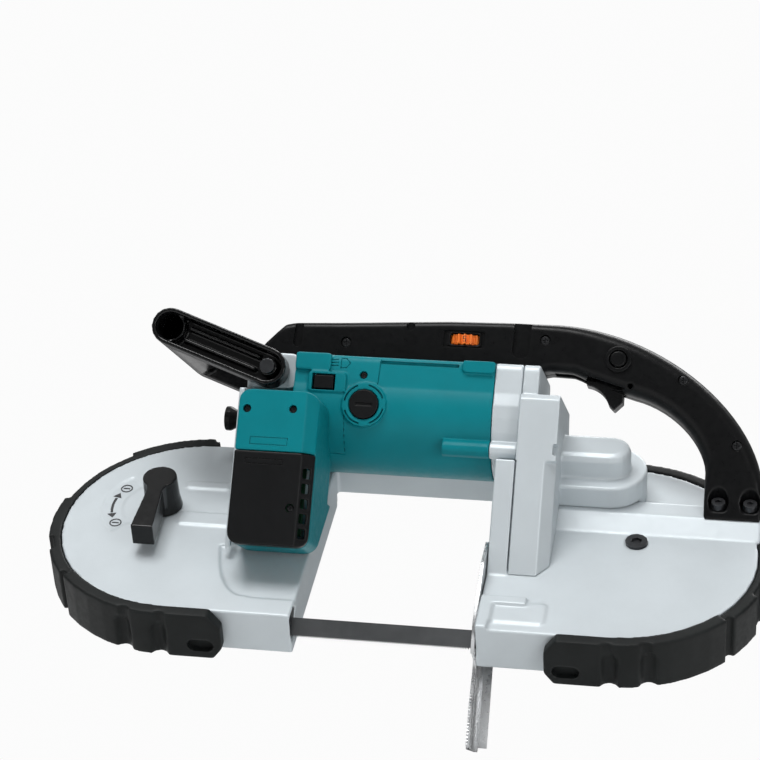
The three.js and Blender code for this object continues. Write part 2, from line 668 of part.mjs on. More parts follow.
// The roller that the blade's back runs against.
function backupRoller() {
  const z = BLADE.width + GAP + BACKUP.radius;
  return toY(rod(BACKUP.radius, -BACKUP.half, BACKUP.half), BACKUP.x, z);
}

// A plate that hooks round the blade, with a stiffening flange along its rear edge and slots whose
// pockets keep the screw heads below its face.
function stopPlate() {
  const { x, thick, back, bottom, top, shoulder, hook, slot0, slot1, slotTop } = STOP;
  const outline = polygon([
    [8.5, bottom + 3], [11.5, bottom], [back - 3, bottom], [back, bottom + 3], [back, shoulder], [44, top],
    [33, top], [16, 61], [5, 39], [hook, 18], [hook, -1], [slot0, -3],
    [slot0, slotTop], [slot1, slotTop], [slot1, -3], [13, -6], [14, -12], [8.5, -36],
  ]);
  const plate = prismX(outline, x, x + thick);
  const flange = block(x, x + thick + STOP.flange, back - thick, back, bottom + 3, STOP.flangeTop);
  const slots = STOP_SCREWS.map(({ y, z }) =>
    prismX(stadium(y, z - STOP.travel, y, z, STOP_SCREW.radius + GAP), x - 5, x + 5));
  const pockets = STOP_SCREWS.map(({ y, z }) =>
    prismX(stadium(y, z - STOP.travel, y, z, STOP_SCREW.head + GAP), x - 1, x + STOP_SCREW.sink));
  return cut(join(plate, flange), ...slots, ...pockets);
}

function addGuides() {
  for (const [name, side] of [['left', -1], ['right', 1]]) {
    addUpright(`${name}_blade_guide`, onSide(guideBracket(), side), STEEL);
    addUpright(`${name}_backup_roller`, onSide(join(backupRoller()), side), DARK_STEEL);
  }
  addUpright('stop_plate', stopPlate(), STEEL);
}

// ---------------------------------------------------------------- drive train
const FIRST_CENTRES = Math.hypot(MOTOR.y - layshaftAxis.y, MOTOR.z - layshaftAxis.z);
const MOTOR_PINION_RADIUS = FIRST_CENTRES * TEETH.motor / (TEETH.motor + TEETH.first);
const FIRST_GEAR_RADIUS = FIRST_CENTRES - MOTOR_PINION_RADIUS;
const TO_LAYSHAFT = Math.atan2(layshaftAxis.z - MOTOR.z, layshaftAxis.y - MOTOR.y);
const BEVEL_PINION_RADIUS = LAYSHAFT.n - BEVEL_CONTACT_N;
const CROWN_RADIUS = BEVEL_PINION_RADIUS * TEETH.bevel / TEETH.bevelPinion;
const FINAL_CENTRES = Math.hypot(DOME.x - DRIVE_X, LAYSHAFT.p - WHEEL_P);
const SPUR_RADIUS = FINAL_CENTRES * TEETH.spur / (TEETH.spur + TEETH.wheel);
const TO_SPUR = Math.atan2(LAYSHAFT.p - WHEEL_P, DOME.x - DRIVE_X);
const FIRST_GEAR = { x0: 80, x1: 88 };

function armature() {
  const shaft = rod(ARMATURE.shaft, -60, 92);
  const commutator = rod(ARMATURE.commutator, BRUSH_X - 9, BRUSH_X + 9);
  const { core, coreX0, coreX1 } = ARMATURE;
  const windings = turned([
    [0, coreX0 - 6], [12, coreX0 - 6], [17, coreX0], [core, coreX0], [core, coreX1], [17, coreX1],
    [12, coreX1 + 6], [0, coreX1 + 6],
  ]);
  const spindle = join(shaft, commutator, windings).applyMatrix4(Z_TO_X);
  const pinion = prismX(gearOutline(TEETH.motor, MOTOR_PINION_RADIUS, TO_LAYSHAFT), 78.5, 90);
  return join(spindle, pinion).translate(0, MOTOR.y, MOTOR.z);
}

function coolingFan() {
  const { x0, depth, radius, hub, vanes } = FAN;
  const bore = ARMATURE.shaft + GAP;
  const pieces = [ring(radius, bore, x0, x0 + 2.5), ring(hub, bore, x0, x0 + depth)];
  for (let vane = 0; vane < vanes; vane += 1) {
    const blade = block(hub - 1, radius - 1, -0.9, 0.9, x0 + 1, x0 + depth);
    pieces.push(blade.rotateZ(vane * 2 * Math.PI / vanes));
  }
  return toX(join(...pieces), MOTOR.y, MOTOR.z);
}

function addMotorInternals() {
  const { y, z } = MOTOR;
  const bore = ARMATURE.shaft + GAP;
  addUpright('armature', armature(), COPPER);
  addUpright('cooling_fan', coolingFan(), BLACK_PLASTIC);
  const laminations = ring(STATOR.outer, STATOR.bore, STATOR.x0, STATOR.x1);
  addUpright('stator', toX(laminations, y, z), DARK_STEEL);
  addUpright('armature_front_bearing', toX(ring(FRONT_BEARING, bore, 67.5, 74.5), y, z), STEEL);
  addUpright('armature_rear_bearing', toX(ring(REAR_BEARING, bore, -66, -59), y, z), STEEL);
}

// The shaft along X between the two bearings, with the bevel pinion at its right end.
function layshaft() {
  const shaft = rod(LAYSHAFT.radius, LAYSHAFT.x0, DOME.x - CROWN_RADIUS + 1);
  const collar = rod(LAYSHAFT.radius + 2, 90, 94);
  const outline = gearOutline(TEETH.bevelPinion, BEVEL_PINION_RADIUS, -TILT);
  const pinion = tapered(prism(outline, 0, 3.8), 0, CROWN_RADIUS).translate(0, 0, DOME.x - CROWN_RADIUS);
  return toX(join(shaft, collar, pinion), layshaftAxis.y, layshaftAxis.z);
}

function addLayshaft() {
  const { y, z } = layshaftAxis;
  const halfPitch = Math.PI / TEETH.first;
  const outline = gearOutline(TEETH.first, FIRST_GEAR_RADIUS, TO_LAYSHAFT + Math.PI + halfPitch);
  outline.holes.push(circle(0, 0, LAYSHAFT.radius + GAP));
  const firstGear = prismX(outline, FIRST_GEAR.x0, FIRST_GEAR.x1);
  addUpright('first_gear', firstGear.translate(0, y, z), STEEL);
  addUpright('layshaft', layshaft(), STEEL);
  for (const [name, x] of [['left', LAYSHAFT.x0], ['right', 96]]) {
    const bearing = ring(LAYSHAFT.bearing, LAYSHAFT.radius + GAP, x, x + 6);
    addUpright(`layshaft_${name}_bearing`, toX(bearing, y, z), STEEL);
  }
}

// The shaft across the wheel plane: crown wheel on top, spur pinion at its foot.
function addCounterShaft() {
  const { p, n } = LAYSHAFT;
  const phase = Math.PI + Math.PI / TEETH.bevel;
  const crown = crownWheel(TEETH.bevel, CROWN_RADIUS, CROWN_BACK, BEVEL_CONTACT_N, n, phase);
  addTilted('crown_wheel', crown.translate(DOME.x, p, 0), STEEL);
  const top = CROWN_BACK - GAP;
  const spur = prism(gearOutline(TEETH.spur, SPUR_RADIUS, TO_SPUR + Math.PI), GEAR.back, GEAR.front);
  const pinion = join(spur, rod(SPINDLE_RADIUS, GEAR.back, top), rod(SPINDLE_RADIUS + 2, top - 7, top));
  addTilted('spur_pinion', pinion.translate(DOME.x, p, 0), STEEL);
  const bearing = ring(BUSH_OUTER, SPINDLE_RADIUS + GAP, 9, 15);
  addTilted('spur_pinion_bearing', bearing.translate(DOME.x, p, 0), STEEL);
}

function addWheelGear() {
  const phase = TO_SPUR + Math.PI / TEETH.wheel;
  const outline = gearOutline(TEETH.wheel, FINAL_CENTRES - SPUR_RADIUS, phase);
  outline.holes.push(circle(0, 0, GEAR.bore));
  addTilted('wheel_gear', prism(outline, GEAR.back, GEAR.front).translate(DRIVE_X, WHEEL_P, 0), STEEL);
}

// ---------------------------------------------------------------- motor housing
// A screw boss along X beside the motor, with a round end.
function screwBoss(x0, x1) {
  return toX(rod(BOSS.radius, x0, x1), BOSS.y, BOSS.z);
}

// Both of a pair of shapes that face each other across the motor, given the front one.
function bothSides(frontOne) {
  const backOne = frontOne.clone().rotateZ(Math.PI).translate(2 * BRUSH_X, 2 * MOTOR.y, 0);
  return [frontOne, backOne];
}

function motorHousing() {
  const { x0, x1, wall, y, z } = MOTOR;
  const { seat, ringFace, ringRadius, bore } = BRUSH_CAP;
  const outer = prismX(motorSection(0), x0, x1);
  const inner = prismX(motorSection(-wall), x0 + wall, x1 + 1);
  const within = prismX(motorSection(-1), x0, x1);
  const ribs = [STATOR.x0 + 4, STATOR.x1 - 7].map((x) =>
    common(toX(ring(60, STATOR.outer + GAP, x, x + 3), y, z), within));
  const bearingSeat = toX(ring(REAR_BEARING + 3, REAR_BEARING + GAP, x0 + 1, -58), y, z);
  const brushSeat = cut(toY(rod(ringRadius, ringFace, 60), BRUSH_X, z), inner);
  const body = join(cut(outer, inner), bearingSeat, ...ribs, screwBoss(24, x1), ...bothSides(brushSeat));
  const brushBore = join(
    toY(rod(bore, ringFace - 6, 60), BRUSH_X, z),
    toY(rod(seat, ringFace - 6, ringFace + 3), BRUSH_X, z),
  );
  const rocker = block(
    SWITCH.x - SWITCH.width / 2 - 0.6, SWITCH.x + SWITCH.width / 2 + 0.6, 30, 46,
    SWITCH.z - SWITCH.height / 2 - 0.5, SWITCH.z + SWITCH.height / 2 + 0.5,
  );
  return cut(body, ...bothSides(brushBore), rocker);
}

function brushCap() {
  const { face, bore, seat, depth } = BRUSH_CAP;
  const rim = seat - 0.5;
  const neck = bore - 0.3;
  const under = face + 3.8;
  const cap = turned([[0, face], [rim, face], [rim, under], [neck, under], [neck, depth], [0, depth]]);
  const coinSlot = block(-6, 6, -1, 1, face - 1, face + 1.4);
  return toY(cut(cap, coinSlot), BRUSH_X, MOTOR.z);
}

function addBrushes() {
  const end = MOTOR.y - ARMATURE.commutator - GAP;
  const carbon = block(BRUSH_X - 3.3, BRUSH_X + 3.3, BRUSH_CAP.depth + 5, end, MOTOR.z - 4.3, MOTOR.z + 4.3);
  const caps = bothSides(brushCap());
  const brushes = bothSides(carbon);
  ['front', 'back'].forEach((side, index) => {
    addUpright(`brush_cap_${side}`, caps[index], BLACK_PLASTIC);
    addUpright(`carbon_brush_${side}`, brushes[index], CARBON);
  });
}

function addMotor() {
  addUpright('motor_housing', motorHousing(), TEAL_PLASTIC);
  addMotorInternals();
  addBrushes();
  const { x, z, width, height, face, depth } = SWITCH;
  const rocker = block(x - width / 2, x + width / 2, face, face + depth, z - height / 2, z + height / 2);
  addUpright('lamp_switch', rocker, BLACK_PLASTIC);
}

// ---------------------------------------------------------------- gear case and gear housing
function gearCase() {
  const { x1, y, z } = MOTOR;
  const left = x1 + GAP;
  const right = SEAM_X - GAP;
  return cut(join(prismX(motorSection(0), left, right), screwBoss(left, right)),
    toX(rod(FAN.radius + 5.5, left - 1, 66), y, z),
    toX(rod(FRONT_BEARING + GAP, 60, 80), y, z),
    toX(rod(LAYSHAFT.bearing + GAP, LAYSHAFT.x0 - GAP, 80), layshaftAxis.y, layshaftAxis.z),
  );
}

// A prism with its far rim rounded over.
function roundedTop(shape, from, to, rim) {
  const geometry = new THREE.ExtrudeGeometry(shape, {
    depth: to - from - rim, bevelEnabled: true, bevelThickness: rim, bevelSize: rim, bevelOffset: -rim,
    bevelSegments: 2,
  });
  return geometry.translate(0, 0, from);
}

// The two rounded tiers over the layshaft's end and the crown wheel.
function gearDome() {
  const start = HOUSING.right - 8;
  const { p } = LAYSHAFT;
  const lower = roundedTop(stadium(start, p, DOME.x, p, DOME.lower), 12, DOME.lowerTop, 1.6);
  const upper = roundedTop(stadium(start, p, DOME.x, p, DOME.upper), 30, DOME.upperTop, 5);
  return outOfPlane(common(join(lower, upper), block(start, 300, 0, 300, 0, 100)));
}

// The block right of the seam, with its front edge and its lower right end chamfered.
function gearTower() {
  const { right, top } = HOUSING;
  const outline = polygon([
    [COLUMN.front, 40], [COLUMN.front, top - 4], [COLUMN.front + 4, top], [104, top], [118, 150],
    [118, 120], [40, 40],
  ]);
  const edge = prism(polygon([[right - 8, 0], [right + 9, 0], [right + 9, 17]]), 20, COLUMN.top);
  const foot = prismY(polygon([[right - 9, 30], [right + 20, 30], [right + 20, 90]]), 0, 60);
  return cut(prismX(outline, SEAM_X, right), edge.translate(0, COLUMN.front, 0), foot);
}

// The hollows inside the gear housing.
function gearRooms() {
  const { right } = HOUSING;
  const { y, z } = layshaftAxis;
  const { p, bearing } = LAYSHAFT;
  const crownRoom = rod(CROWN_RADIUS + 2.6, 10, DOME.lowerTop - 1.5).translate(DOME.x, p, 0);
  const shaftOutline = stadium(right - 12, p, DOME.x, p, DOME.upper - 3);
  const shaftRoom = common(
    prism(shaftOutline, CROWN_BACK - 1.3, DOME.upperTop - 3.5),
    block(right + 1, 300, 0, 300, 0, 100),
  );
  return [
    toX(rod(FIRST_GEAR_RADIUS + 3, SEAM_X - 1, 91), y, z),
    toX(rod(MOTOR_PINION_RADIUS + 3, SEAM_X - 1, 92.5), MOTOR.y, MOTOR.z),
    toX(rod(bearing + GAP, 80, DOME.x), y, z),
    outOfPlane(join(crownRoom, shaftRoom)),
    block(SEAM_X + 3, right - 8, COLUMN.front + 3, 100, 45, 118),
  ];
}

function gearHousing() {
  const { right, ringRight } = HOUSING;
  const collar = prismX(motorSection(0), SEAM_X, ringRight);
  const shell = join(collar, gearTower(), screwBoss(SEAM_X, right - 3), gearDome());
  return cut(shell, outOfPlane(plateClearance()), ...gearRooms());
}

// ---------------------------------------------------------------- covers at the motor's rear
// The covers' common block from y0 to y1, smaller by `inset` all round.
function coverBlock(y0, y1, inset) {
  const { x0, x1, bottom, top, corner, front } = COVER;
  const outline = rectangle(x0 + inset, x1 - inset, bottom + inset, top - inset, corner - inset);
  const edgeX = x1 - corner - inset;
  const far = x1 + corner + 1;
  const edge = prism(polygon([[edgeX, front], [far, front], [far, front + far - edgeX]]), 0, 250);
  return cut(prismY(outline, y0, y1), edge.translate(0, -0.01, 0));
}

function rearCover() {
  const { x0, x1, front, bottom, split, vent, wall } = COVER;
  return cut(coverBlock(front, 110, 0),
    coverBlock(front + wall, 111, wall),
    block(x0 - 1, x1 + 1, front - 1, vent + GAP, bottom - 1, split + GAP / 2),
    prismX(motorSection(GAP), x0 - 10, x1 + 10),
    block(x0 - 1, x1 + 1, 60, 120, 100, 180),
    outOfPlane(plateClearance()),
  );
}

// The lower front cover, with a row of air slots on its chamfered edge.
function ventCover() {
  const { x0, x1, front, split, vent, wall } = COVER;
  const slots = [];
  for (let slot = 0; slot < VENTS.count; slot += 1) {
    const opening = block(-10, 10, -VENTS.half, VENTS.half, 0, VENTS.height).rotateZ(-TILT);
    slots.push(opening.translate(x1 - 4, front + 4, VENTS.z0 + VENTS.pitch * slot));
  }
  return cut(coverBlock(front, vent, 0),
    coverBlock(front + wall, vent + 1, wall),
    block(x0 - 1, x1 + 1, front - 1, vent + 1, split - GAP / 2, COVER.top + 1),
    ...slots);
}

// The speed control's circuit board with its coil, filter and power chip.
function controlBoard() {
  return join(
    block(-107, -66, 14, 15.6, 70, 150),
    toY(rod(7, 5, 15), -92, 132),
    block(-103, -82, 6, 15, 84, 100),
    block(-78, -72, 10, 15, 92, 112),
  );
}

function addCasings() {
  addTilted('main_frame', mainFrame(), SILVER_PAINT);
  addUpright('work_lamp', toX(rod(LAMP.radius, LAMP.x0, LAMP.x1), LAMP.y, LAMP.z), LENS);
  addUpright('gear_case', gearCase(), SILVER_PAINT);
  addUpright('gear_housing', gearHousing(), SILVER_PAINT);
  addUpright('rear_cover', rearCover(), TEAL_PLASTIC);
  addUpright('vent_cover', ventCover(), BLACK_PLASTIC);
  addUpright('control_board', controlBoard(), BOARD_GREEN);
}

// ---------------------------------------------------------------- handles
// Side outline of the top handle and its D-shaped grip, moved inwards by `inset`.
function handleOutline(inset) {
  const bottom = HANDLE.bottom + inset;
  const shape = new THREE.Shape();
  shape.moveTo(-117 + inset, bottom);
  shape.lineTo(-119 + inset, 213);
  shape.lineTo(-101 + inset, 232 - inset);
  shape.lineTo(18, 239.3 - inset);
  shape.lineTo(97, 241 - inset);
  shape.bezierCurveTo(165, 241 - inset, 236 - inset, 190, 245.5 - inset, 136);
  shape.lineTo(246 - inset, 95 + inset);
  shape.lineTo(206.5 + inset, 95 + inset);
  shape.lineTo(205.5 + inset, 141);
  shape.bezierCurveTo(203 + inset, 165, 178, 187 + inset, 152, 192 + inset);
  shape.lineTo(120, 196 + inset);
  shape.lineTo(92, bottom);
  return shape;
}

// One moulded half of the handle between y0 and y1, hollow between the wall limits.
function handleHalf(y0, y1, wallY0, wallY1) {
  const { wall, hole } = HANDLE;
  const { p, shank, seat, bore } = HANDLE_BOLT;
  const shell = cut(prismY(handleOutline(0), y0, y1), prismY(handleOutline(wall), wallY0, wallY1));
  const foot = common(prismY(handleOutline(0), y0, y1), block(200, 250, 60, 110, 90, 128));
  const boltHoles = HANDLE_BOLT.xs.map((x) =>
    outOfPlane(join(rod(bore, seat, 90), rod(shank + GAP, 10, seat + 1)).translate(x, p, 0)));
  const mouthHalf = TRIGGER.half + GAP;
  return cut(join(shell, foot),
    outOfPlane(plateClearance()),
    ...boltHoles,
    block(TRIGGER.x0, TRIGGER.x1, HANDLE.y - mouthHalf, HANDLE.y + mouthHalf, 185, 204),
    toY(rod(hole.radius, 60, 120), hole.x, hole.z),
  );
}

// The front half, with the raised dial frame and the ring round the lock button.
function handleFrontHalf() {
  const { y, half, wall } = HANDLE;
  const face = y - half;
  const { x, z, radius, frame } = DIAL;
  const shell = handleHalf(face, y - GAP / 2, face + wall, y + 1);
  const dialFrame = block(x - frame, x + frame, face - 1, face + 2, z - frame / 2, z + frame / 2);
  const dialWindow = block(x - radius + 1.7, x + radius - 1.7, 60, face + 6, z - 4, z + 4);
  const lockHole = toY(rod(LOCK.radius + GAP, 60, 80), LOCK.x, LOCK.z);
  const lockRing = toY(ring(LOCK.ring, LOCK.radius + GAP, face - 1.8, face + 4), LOCK.x, LOCK.z);
  return join(cut(join(shell, dialFrame), lockHole, dialWindow), lockRing);
}

function trigger() {
  const { y } = HANDLE;
  const outline = polygon([
    [118, 203], [118, 197], [123, 193.5], [131, 189], [138.5, 182], [144.5, 188], [144.5, 203],
  ]);
  return join(prismY(outline, y - TRIGGER.half, y + TRIGGER.half), block(124, 139, y - 4, y + 4, 200, 207));
}

// A bolt with a round head and a six-sided socket, standing along the third axis.
function socketBolt(shank, head, from, seat, to) {
  const body = turned([[0, from], [shank, from], [shank, seat], [head, seat], [head, to], [0, to]]);
  const socket = new THREE.CylinderGeometry(head / 2, head / 2, 4, 6).rotateX(Math.PI / 2);
  return cut(body, socket.translate(0, 0, to));
}

function addTopHandle() {
  const { y, half, wall } = HANDLE;
  const backHalf = handleHalf(y + GAP / 2, y + half, y - 1, y + half - wall);
  addUpright('handle_front_half', handleFrontHalf(), BLACK_PLASTIC);
  addUpright('handle_back_half', backHalf, BLACK_PLASTIC);
  addUpright('trigger', trigger(), BLACK_PLASTIC);
  addUpright('switch_block', block(116, 145, y - 8, y + 8, 214, 226), BLACK_PLASTIC);
  const button = turned([[0, LOCK.face], [5, LOCK.face], [LOCK.radius, LOCK.face + 1],
    [LOCK.radius, LOCK.face + 8], [0, LOCK.face + 8]]);
  addUpright('lock_button', toY(button, LOCK.x, LOCK.z), BLACK_PLASTIC);
  const dial = prism(gearOutline(16, DIAL.radius - 0.9, 0), -DIAL.thick / 2, DIAL.thick / 2);
  addUpright('speed_dial', dial.translate(DIAL.x, DIAL.y, DIAL.z), ORANGE_PLASTIC);
  const { xs, p, shank, head, seat } = HANDLE_BOLT;
  ['left', 'right'].forEach((side, index) => {
    const bolt = socketBolt(shank, head, 12, seat + GAP, seat + 5);
    addTilted(`handle_bolt_${side}`, bolt.translate(xs[index], p, 0), DARK_STEEL);
  });
}

// The fixed front handle: a bar along Y between two hollow arms.
function loopHandle() {
  const { x0, z0, x1, z1, radius, arm, wall, nearFront, farFront } = LOOP_HANDLE;
  const outline = stadium(x0, z0, x1, z1, radius);
  const hollow = stadium(x0, z0, x1, z1, radius - wall);
  const arms = [nearFront, farFront].map((front) => prismY(outline, front, front + arm));
  const grip = toY(rod(radius, nearFront + 1, farFront + 1), x0, z0);
  const rooms = [
    prismY(hollow, nearFront - 1, nearFront + arm - 4),
    prismY(hollow, farFront + 4, farFront + arm + 1),
    toY(rod(radius - wall, nearFront - 1, farFront - 20), x0, z0),
  ];
  const bosses = [
    toY(rod(6.5, nearFront + LOOP_BOLT.headDepth, nearFront + arm - 1), x1, z1),
    toY(rod(6.5, farFront + 1, farFront + arm - 3), x1, z1),
  ];
  const boltHole = toY(rod(LOOP_BOLT.radius + GAP, 0, 200), x1, z1);
  return cut(join(cut(join(...arms, grip), ...rooms), ...bosses), boltHole);
}

function loopHandleBolt() {
  const { x1, z1, arm, nearFront, farFront } = LOOP_HANDLE;
  const { radius, head, headDepth } = LOOP_BOLT;
  const seat = nearFront + headDepth - GAP;
  const end = farFront + arm + 4;
  const bolt = turned([
    [0, nearFront - 1], [head, nearFront - 1], [head, seat], [radius, seat], [radius, end], [0, end],
  ]);
  return toY(bolt, x1, z1);
}

// The sleeve where the cord enters, a waisted tube pointing left.
function cordGuard() {
  const sleeve = turned([
    [0, 0], [9.5, 0], [9.5, 3], [6.2, 8], [6.2, 15], [9, 20], [9, 24], [4, 24], [4, 6], [0, 6],
  ]);
  return sleeve.rotateY(-Math.PI / 2).translate(SADDLE.x0 - GAP, 95, 163);
}

function addLoopHandle() {
  addUpright('loop_handle', loopHandle(), BLACK_PLASTIC);
  addUpright('loop_handle_bolt', loopHandleBolt(), STEEL);
  addUpright('cord_guard', cordGuard(), BLACK_RUBBER);
}

// ---------------------------------------------------------------- bumpers
const degrees = THREE.MathUtils.degToRad;

// A stretch of the rubber round the right lobe, between two angles in degrees.
function rimSector(outer, from, to, front) {
  const shape = new THREE.Shape();
  addArc(shape, LOBE.x, LOBE.p, outer, degrees(from), degrees(to));
  addArc(shape, LOBE.x, LOBE.p, BUMPER.inner, degrees(to), degrees(from));
  return prism(shape, BUMPER.back, front);
}

// The thick foot under one lobe: a straight run beside the throat and a curved end.
function frontBumper() {
  const { inner, thick, back, front, grooves, start, slotX } = BUMPER;
  const foot = block(start, LOBE.x + 1, LOBE.p - thick, LOBE.p - inner, back, front);
  const curve = rimSector(thick, 270, 318, front);
  const grooveRods = grooves.map((x) => {
    const drop = Math.sqrt(thick ** 2 - Math.max(0, x - LOBE.x) ** 2);
    return rod(4.4, back - 1, front + 1).translate(x, LOBE.p - drop - 1.6, 0);
  });
  const slot = prismY(stadium(-5, 0, 5, 0, 3.4), -3, 3).translate(slotX, LOBE.p - thick, -6);
  return cut(join(foot, curve), ...grooveRods, slot);
}

// The thinner band round the outside of a lobe, with raised pads.
function rimBumper(side) {
  const band = rimSector(BUMPER.thin, -41.5, 88, FRAME.front);
  const pads = BUMPER.pads.map(([from, to]) => rimSector(BUMPER.thick - 0.5, from, to, FRAME.front));
  const whole = join(band, ...pads);
  return side > 0 ? cut(whole, gripLug(GAP)) : mirrored(whole);
}

function addBumpers() {
  for (const [name, side] of [['left', -1], ['right', 1]]) {
    addTilted(`front_bumper_${name}`, onSide(frontBumper(), side), BLACK_RUBBER);
    addTilted(`rim_bumper_${name}`, rimBumper(side), BLACK_RUBBER);
  }
}

// ---------------------------------------------------------------- fasteners
function addFasteners() {
  const seat = FRAME.front - 0.9;
  const bolt = socketBolt(COVER_BOLT.shank, COVER_BOLT.head, 9, seat, seat + 2.5);
  addTilted('frame_bolt', bolt.translate(COVER_BOLT.x, COVER_BOLT.p, 0), DARK_STEEL);
  const { radius, head, sink, end } = STOP_SCREW;
  ['lower', 'upper'].forEach((name, index) => {
    const { y, z } = STOP_SCREWS[index];
    const screw = join(rod(radius, STOP.x + 1, end), rod(head, STOP.x + 0.1, STOP.x + sink - 0.2));
    addUpright(`stop_screw_${name}`, toX(screw, y, z), DARK_STEEL);
  });
}

addCasings();
addBandWheels();
addTension();
addGuides();
addLayshaft();
addCounterShaft();
addWheelGear();
addMotor();
addTopHandle();
addLoopHandle();
addBumpers();
addFasteners();

export default saw;
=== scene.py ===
import json
import math

import bmesh
import bpy
from mathutils import Matrix, Vector


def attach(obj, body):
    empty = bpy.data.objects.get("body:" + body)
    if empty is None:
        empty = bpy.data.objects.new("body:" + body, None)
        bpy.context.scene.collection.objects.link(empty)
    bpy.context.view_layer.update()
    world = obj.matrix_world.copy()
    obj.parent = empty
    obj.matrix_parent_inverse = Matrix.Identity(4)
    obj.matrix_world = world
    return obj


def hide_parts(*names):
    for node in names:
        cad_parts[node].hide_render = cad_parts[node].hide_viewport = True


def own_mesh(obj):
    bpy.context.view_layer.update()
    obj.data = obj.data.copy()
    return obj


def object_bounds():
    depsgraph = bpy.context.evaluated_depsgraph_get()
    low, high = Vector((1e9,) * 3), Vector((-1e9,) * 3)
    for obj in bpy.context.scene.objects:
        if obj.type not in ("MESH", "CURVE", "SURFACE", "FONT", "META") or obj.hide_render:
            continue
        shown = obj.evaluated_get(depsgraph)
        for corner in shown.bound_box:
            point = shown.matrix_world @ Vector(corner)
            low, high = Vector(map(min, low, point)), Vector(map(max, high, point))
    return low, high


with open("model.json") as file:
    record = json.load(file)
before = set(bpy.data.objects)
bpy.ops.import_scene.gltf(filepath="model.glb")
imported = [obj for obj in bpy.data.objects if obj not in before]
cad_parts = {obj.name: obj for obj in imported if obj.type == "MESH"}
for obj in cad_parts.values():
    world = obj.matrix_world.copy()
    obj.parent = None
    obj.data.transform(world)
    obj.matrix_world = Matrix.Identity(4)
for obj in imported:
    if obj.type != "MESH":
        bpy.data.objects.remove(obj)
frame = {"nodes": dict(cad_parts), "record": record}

cad_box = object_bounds()
NODES = frame["nodes"]

MM = 0.001
VOXEL = 0.8      # mm, edge of a voxel where a casting is remeshed
BLADE_WIDTH = 13.0
PLATE_FACE = 14.6                       # n of the frame's front face
WALL_P = -6.85                          # p of the frame's lower wall
HANDLE_Y = 86.0                         # middle plane of the top handle
HANDLE_HALF = 17.0
TRIGGER_TRAVEL = 6.0
LEVER_X = -178.5                        # the tension lever's axis in the wheel plane
LEVER_P = 105.5
BRUSH_X = -33.6                         # the brush cap on the motor
MOTOR_Y = 78
MOTOR_Z = 168.5
MOTOR_RADIUS = 42.5
MOTOR_LEFT = -85.7
MOTOR_RIGHT = 57
DIAL_X = 29.3                           # the speed dial's axis, and the middle of its window
DIAL_Y = 79.4
DIAL_Z = 226
WINDOW_X = 28.8
LOCK_X = 140
LOCK_Z = 217
LOBE_X = 151.6                          # centre of a lobe's round end, and its bumper's radius
LOBE_P = 88
BUMPER_RADIUS = 104.5
DRIVE_X = 151                           # wheel centres, and the radius of the blade round them
IDLER_X = -155.5
LOOP_RADIUS = 84
GUIDE_END = 80                          # the blade starts to twist beyond its guides
BLADE_THICK = 0.6

# Each matrix maps (u, v, w) to the part's frame; an outline in (u, v) is raised along w.
UP = Matrix.Identity(4)
PLANE = Matrix.Translation((0, 0, BLADE_WIDTH / 2)) @ Matrix.Rotation(math.radians(45), 4, "X")
BACK = Matrix(((1, 0, 0, 0), (0, 0, 1, 0), (0, 1, 0, 0), (0, 0, 0, 1)))
ALONG = Matrix(((0, 0, 1, 0), (1, 0, 0, 0), (0, 1, 0, 0), (0, 0, 0, 1)))


# ---------------------------------------------------------------- outlines
def arc(x, y, radius, start, end, steps=16):
    """Points along an arc, angles in degrees."""
    points = []
    for step in range(steps + 1):
        angle = math.radians(start + (end - start) * step / steps)
        points.append((x + radius * math.cos(angle), y + radius * math.sin(angle)))
    return points


def circle(x, y, radius, steps=40):
    return arc(x, y, radius, 0, 360 - 360 / steps, steps - 1)


def bezier(p0, p1, p2, p3, steps=24):
    """Points along a cubic curve, without its first point."""
    points = []
    for step in range(1, steps + 1):
        t = step / steps
        s = 1 - t
        weights = (s ** 3, 3 * s * s * t, 3 * s * t * t, t ** 3)
        corners = (p0, p1, p2, p3)
        points.append(tuple(sum(w * c[i] for w, c in zip(weights, corners)) for i in (0, 1)))
    return points


def rectangle(x0, x1, y0, y1, corner=0.0):
    if corner == 0:
        return [(x0, y0), (x1, y0), (x1, y1), (x0, y1)]
    return (
        arc(x1 - corner, y0 + corner, corner, -90, 0, 6)
        + arc(x1 - corner, y1 - corner, corner, 0, 90, 6)
        + arc(x0 + corner, y1 - corner, corner, 90, 180, 6)
        + arc(x0 + corner, y0 + corner, corner, 180, 270, 6)
    )


def stadium(x0, y0, x1, y1, radius, steps=16):
    along = math.degrees(math.atan2(y1 - y0, x1 - x0))
    return (
        arc(x1, y1, radius, along - 90, along + 90, steps)
        + arc(x0, y0, radius, along + 90, along + 270, steps)
    )


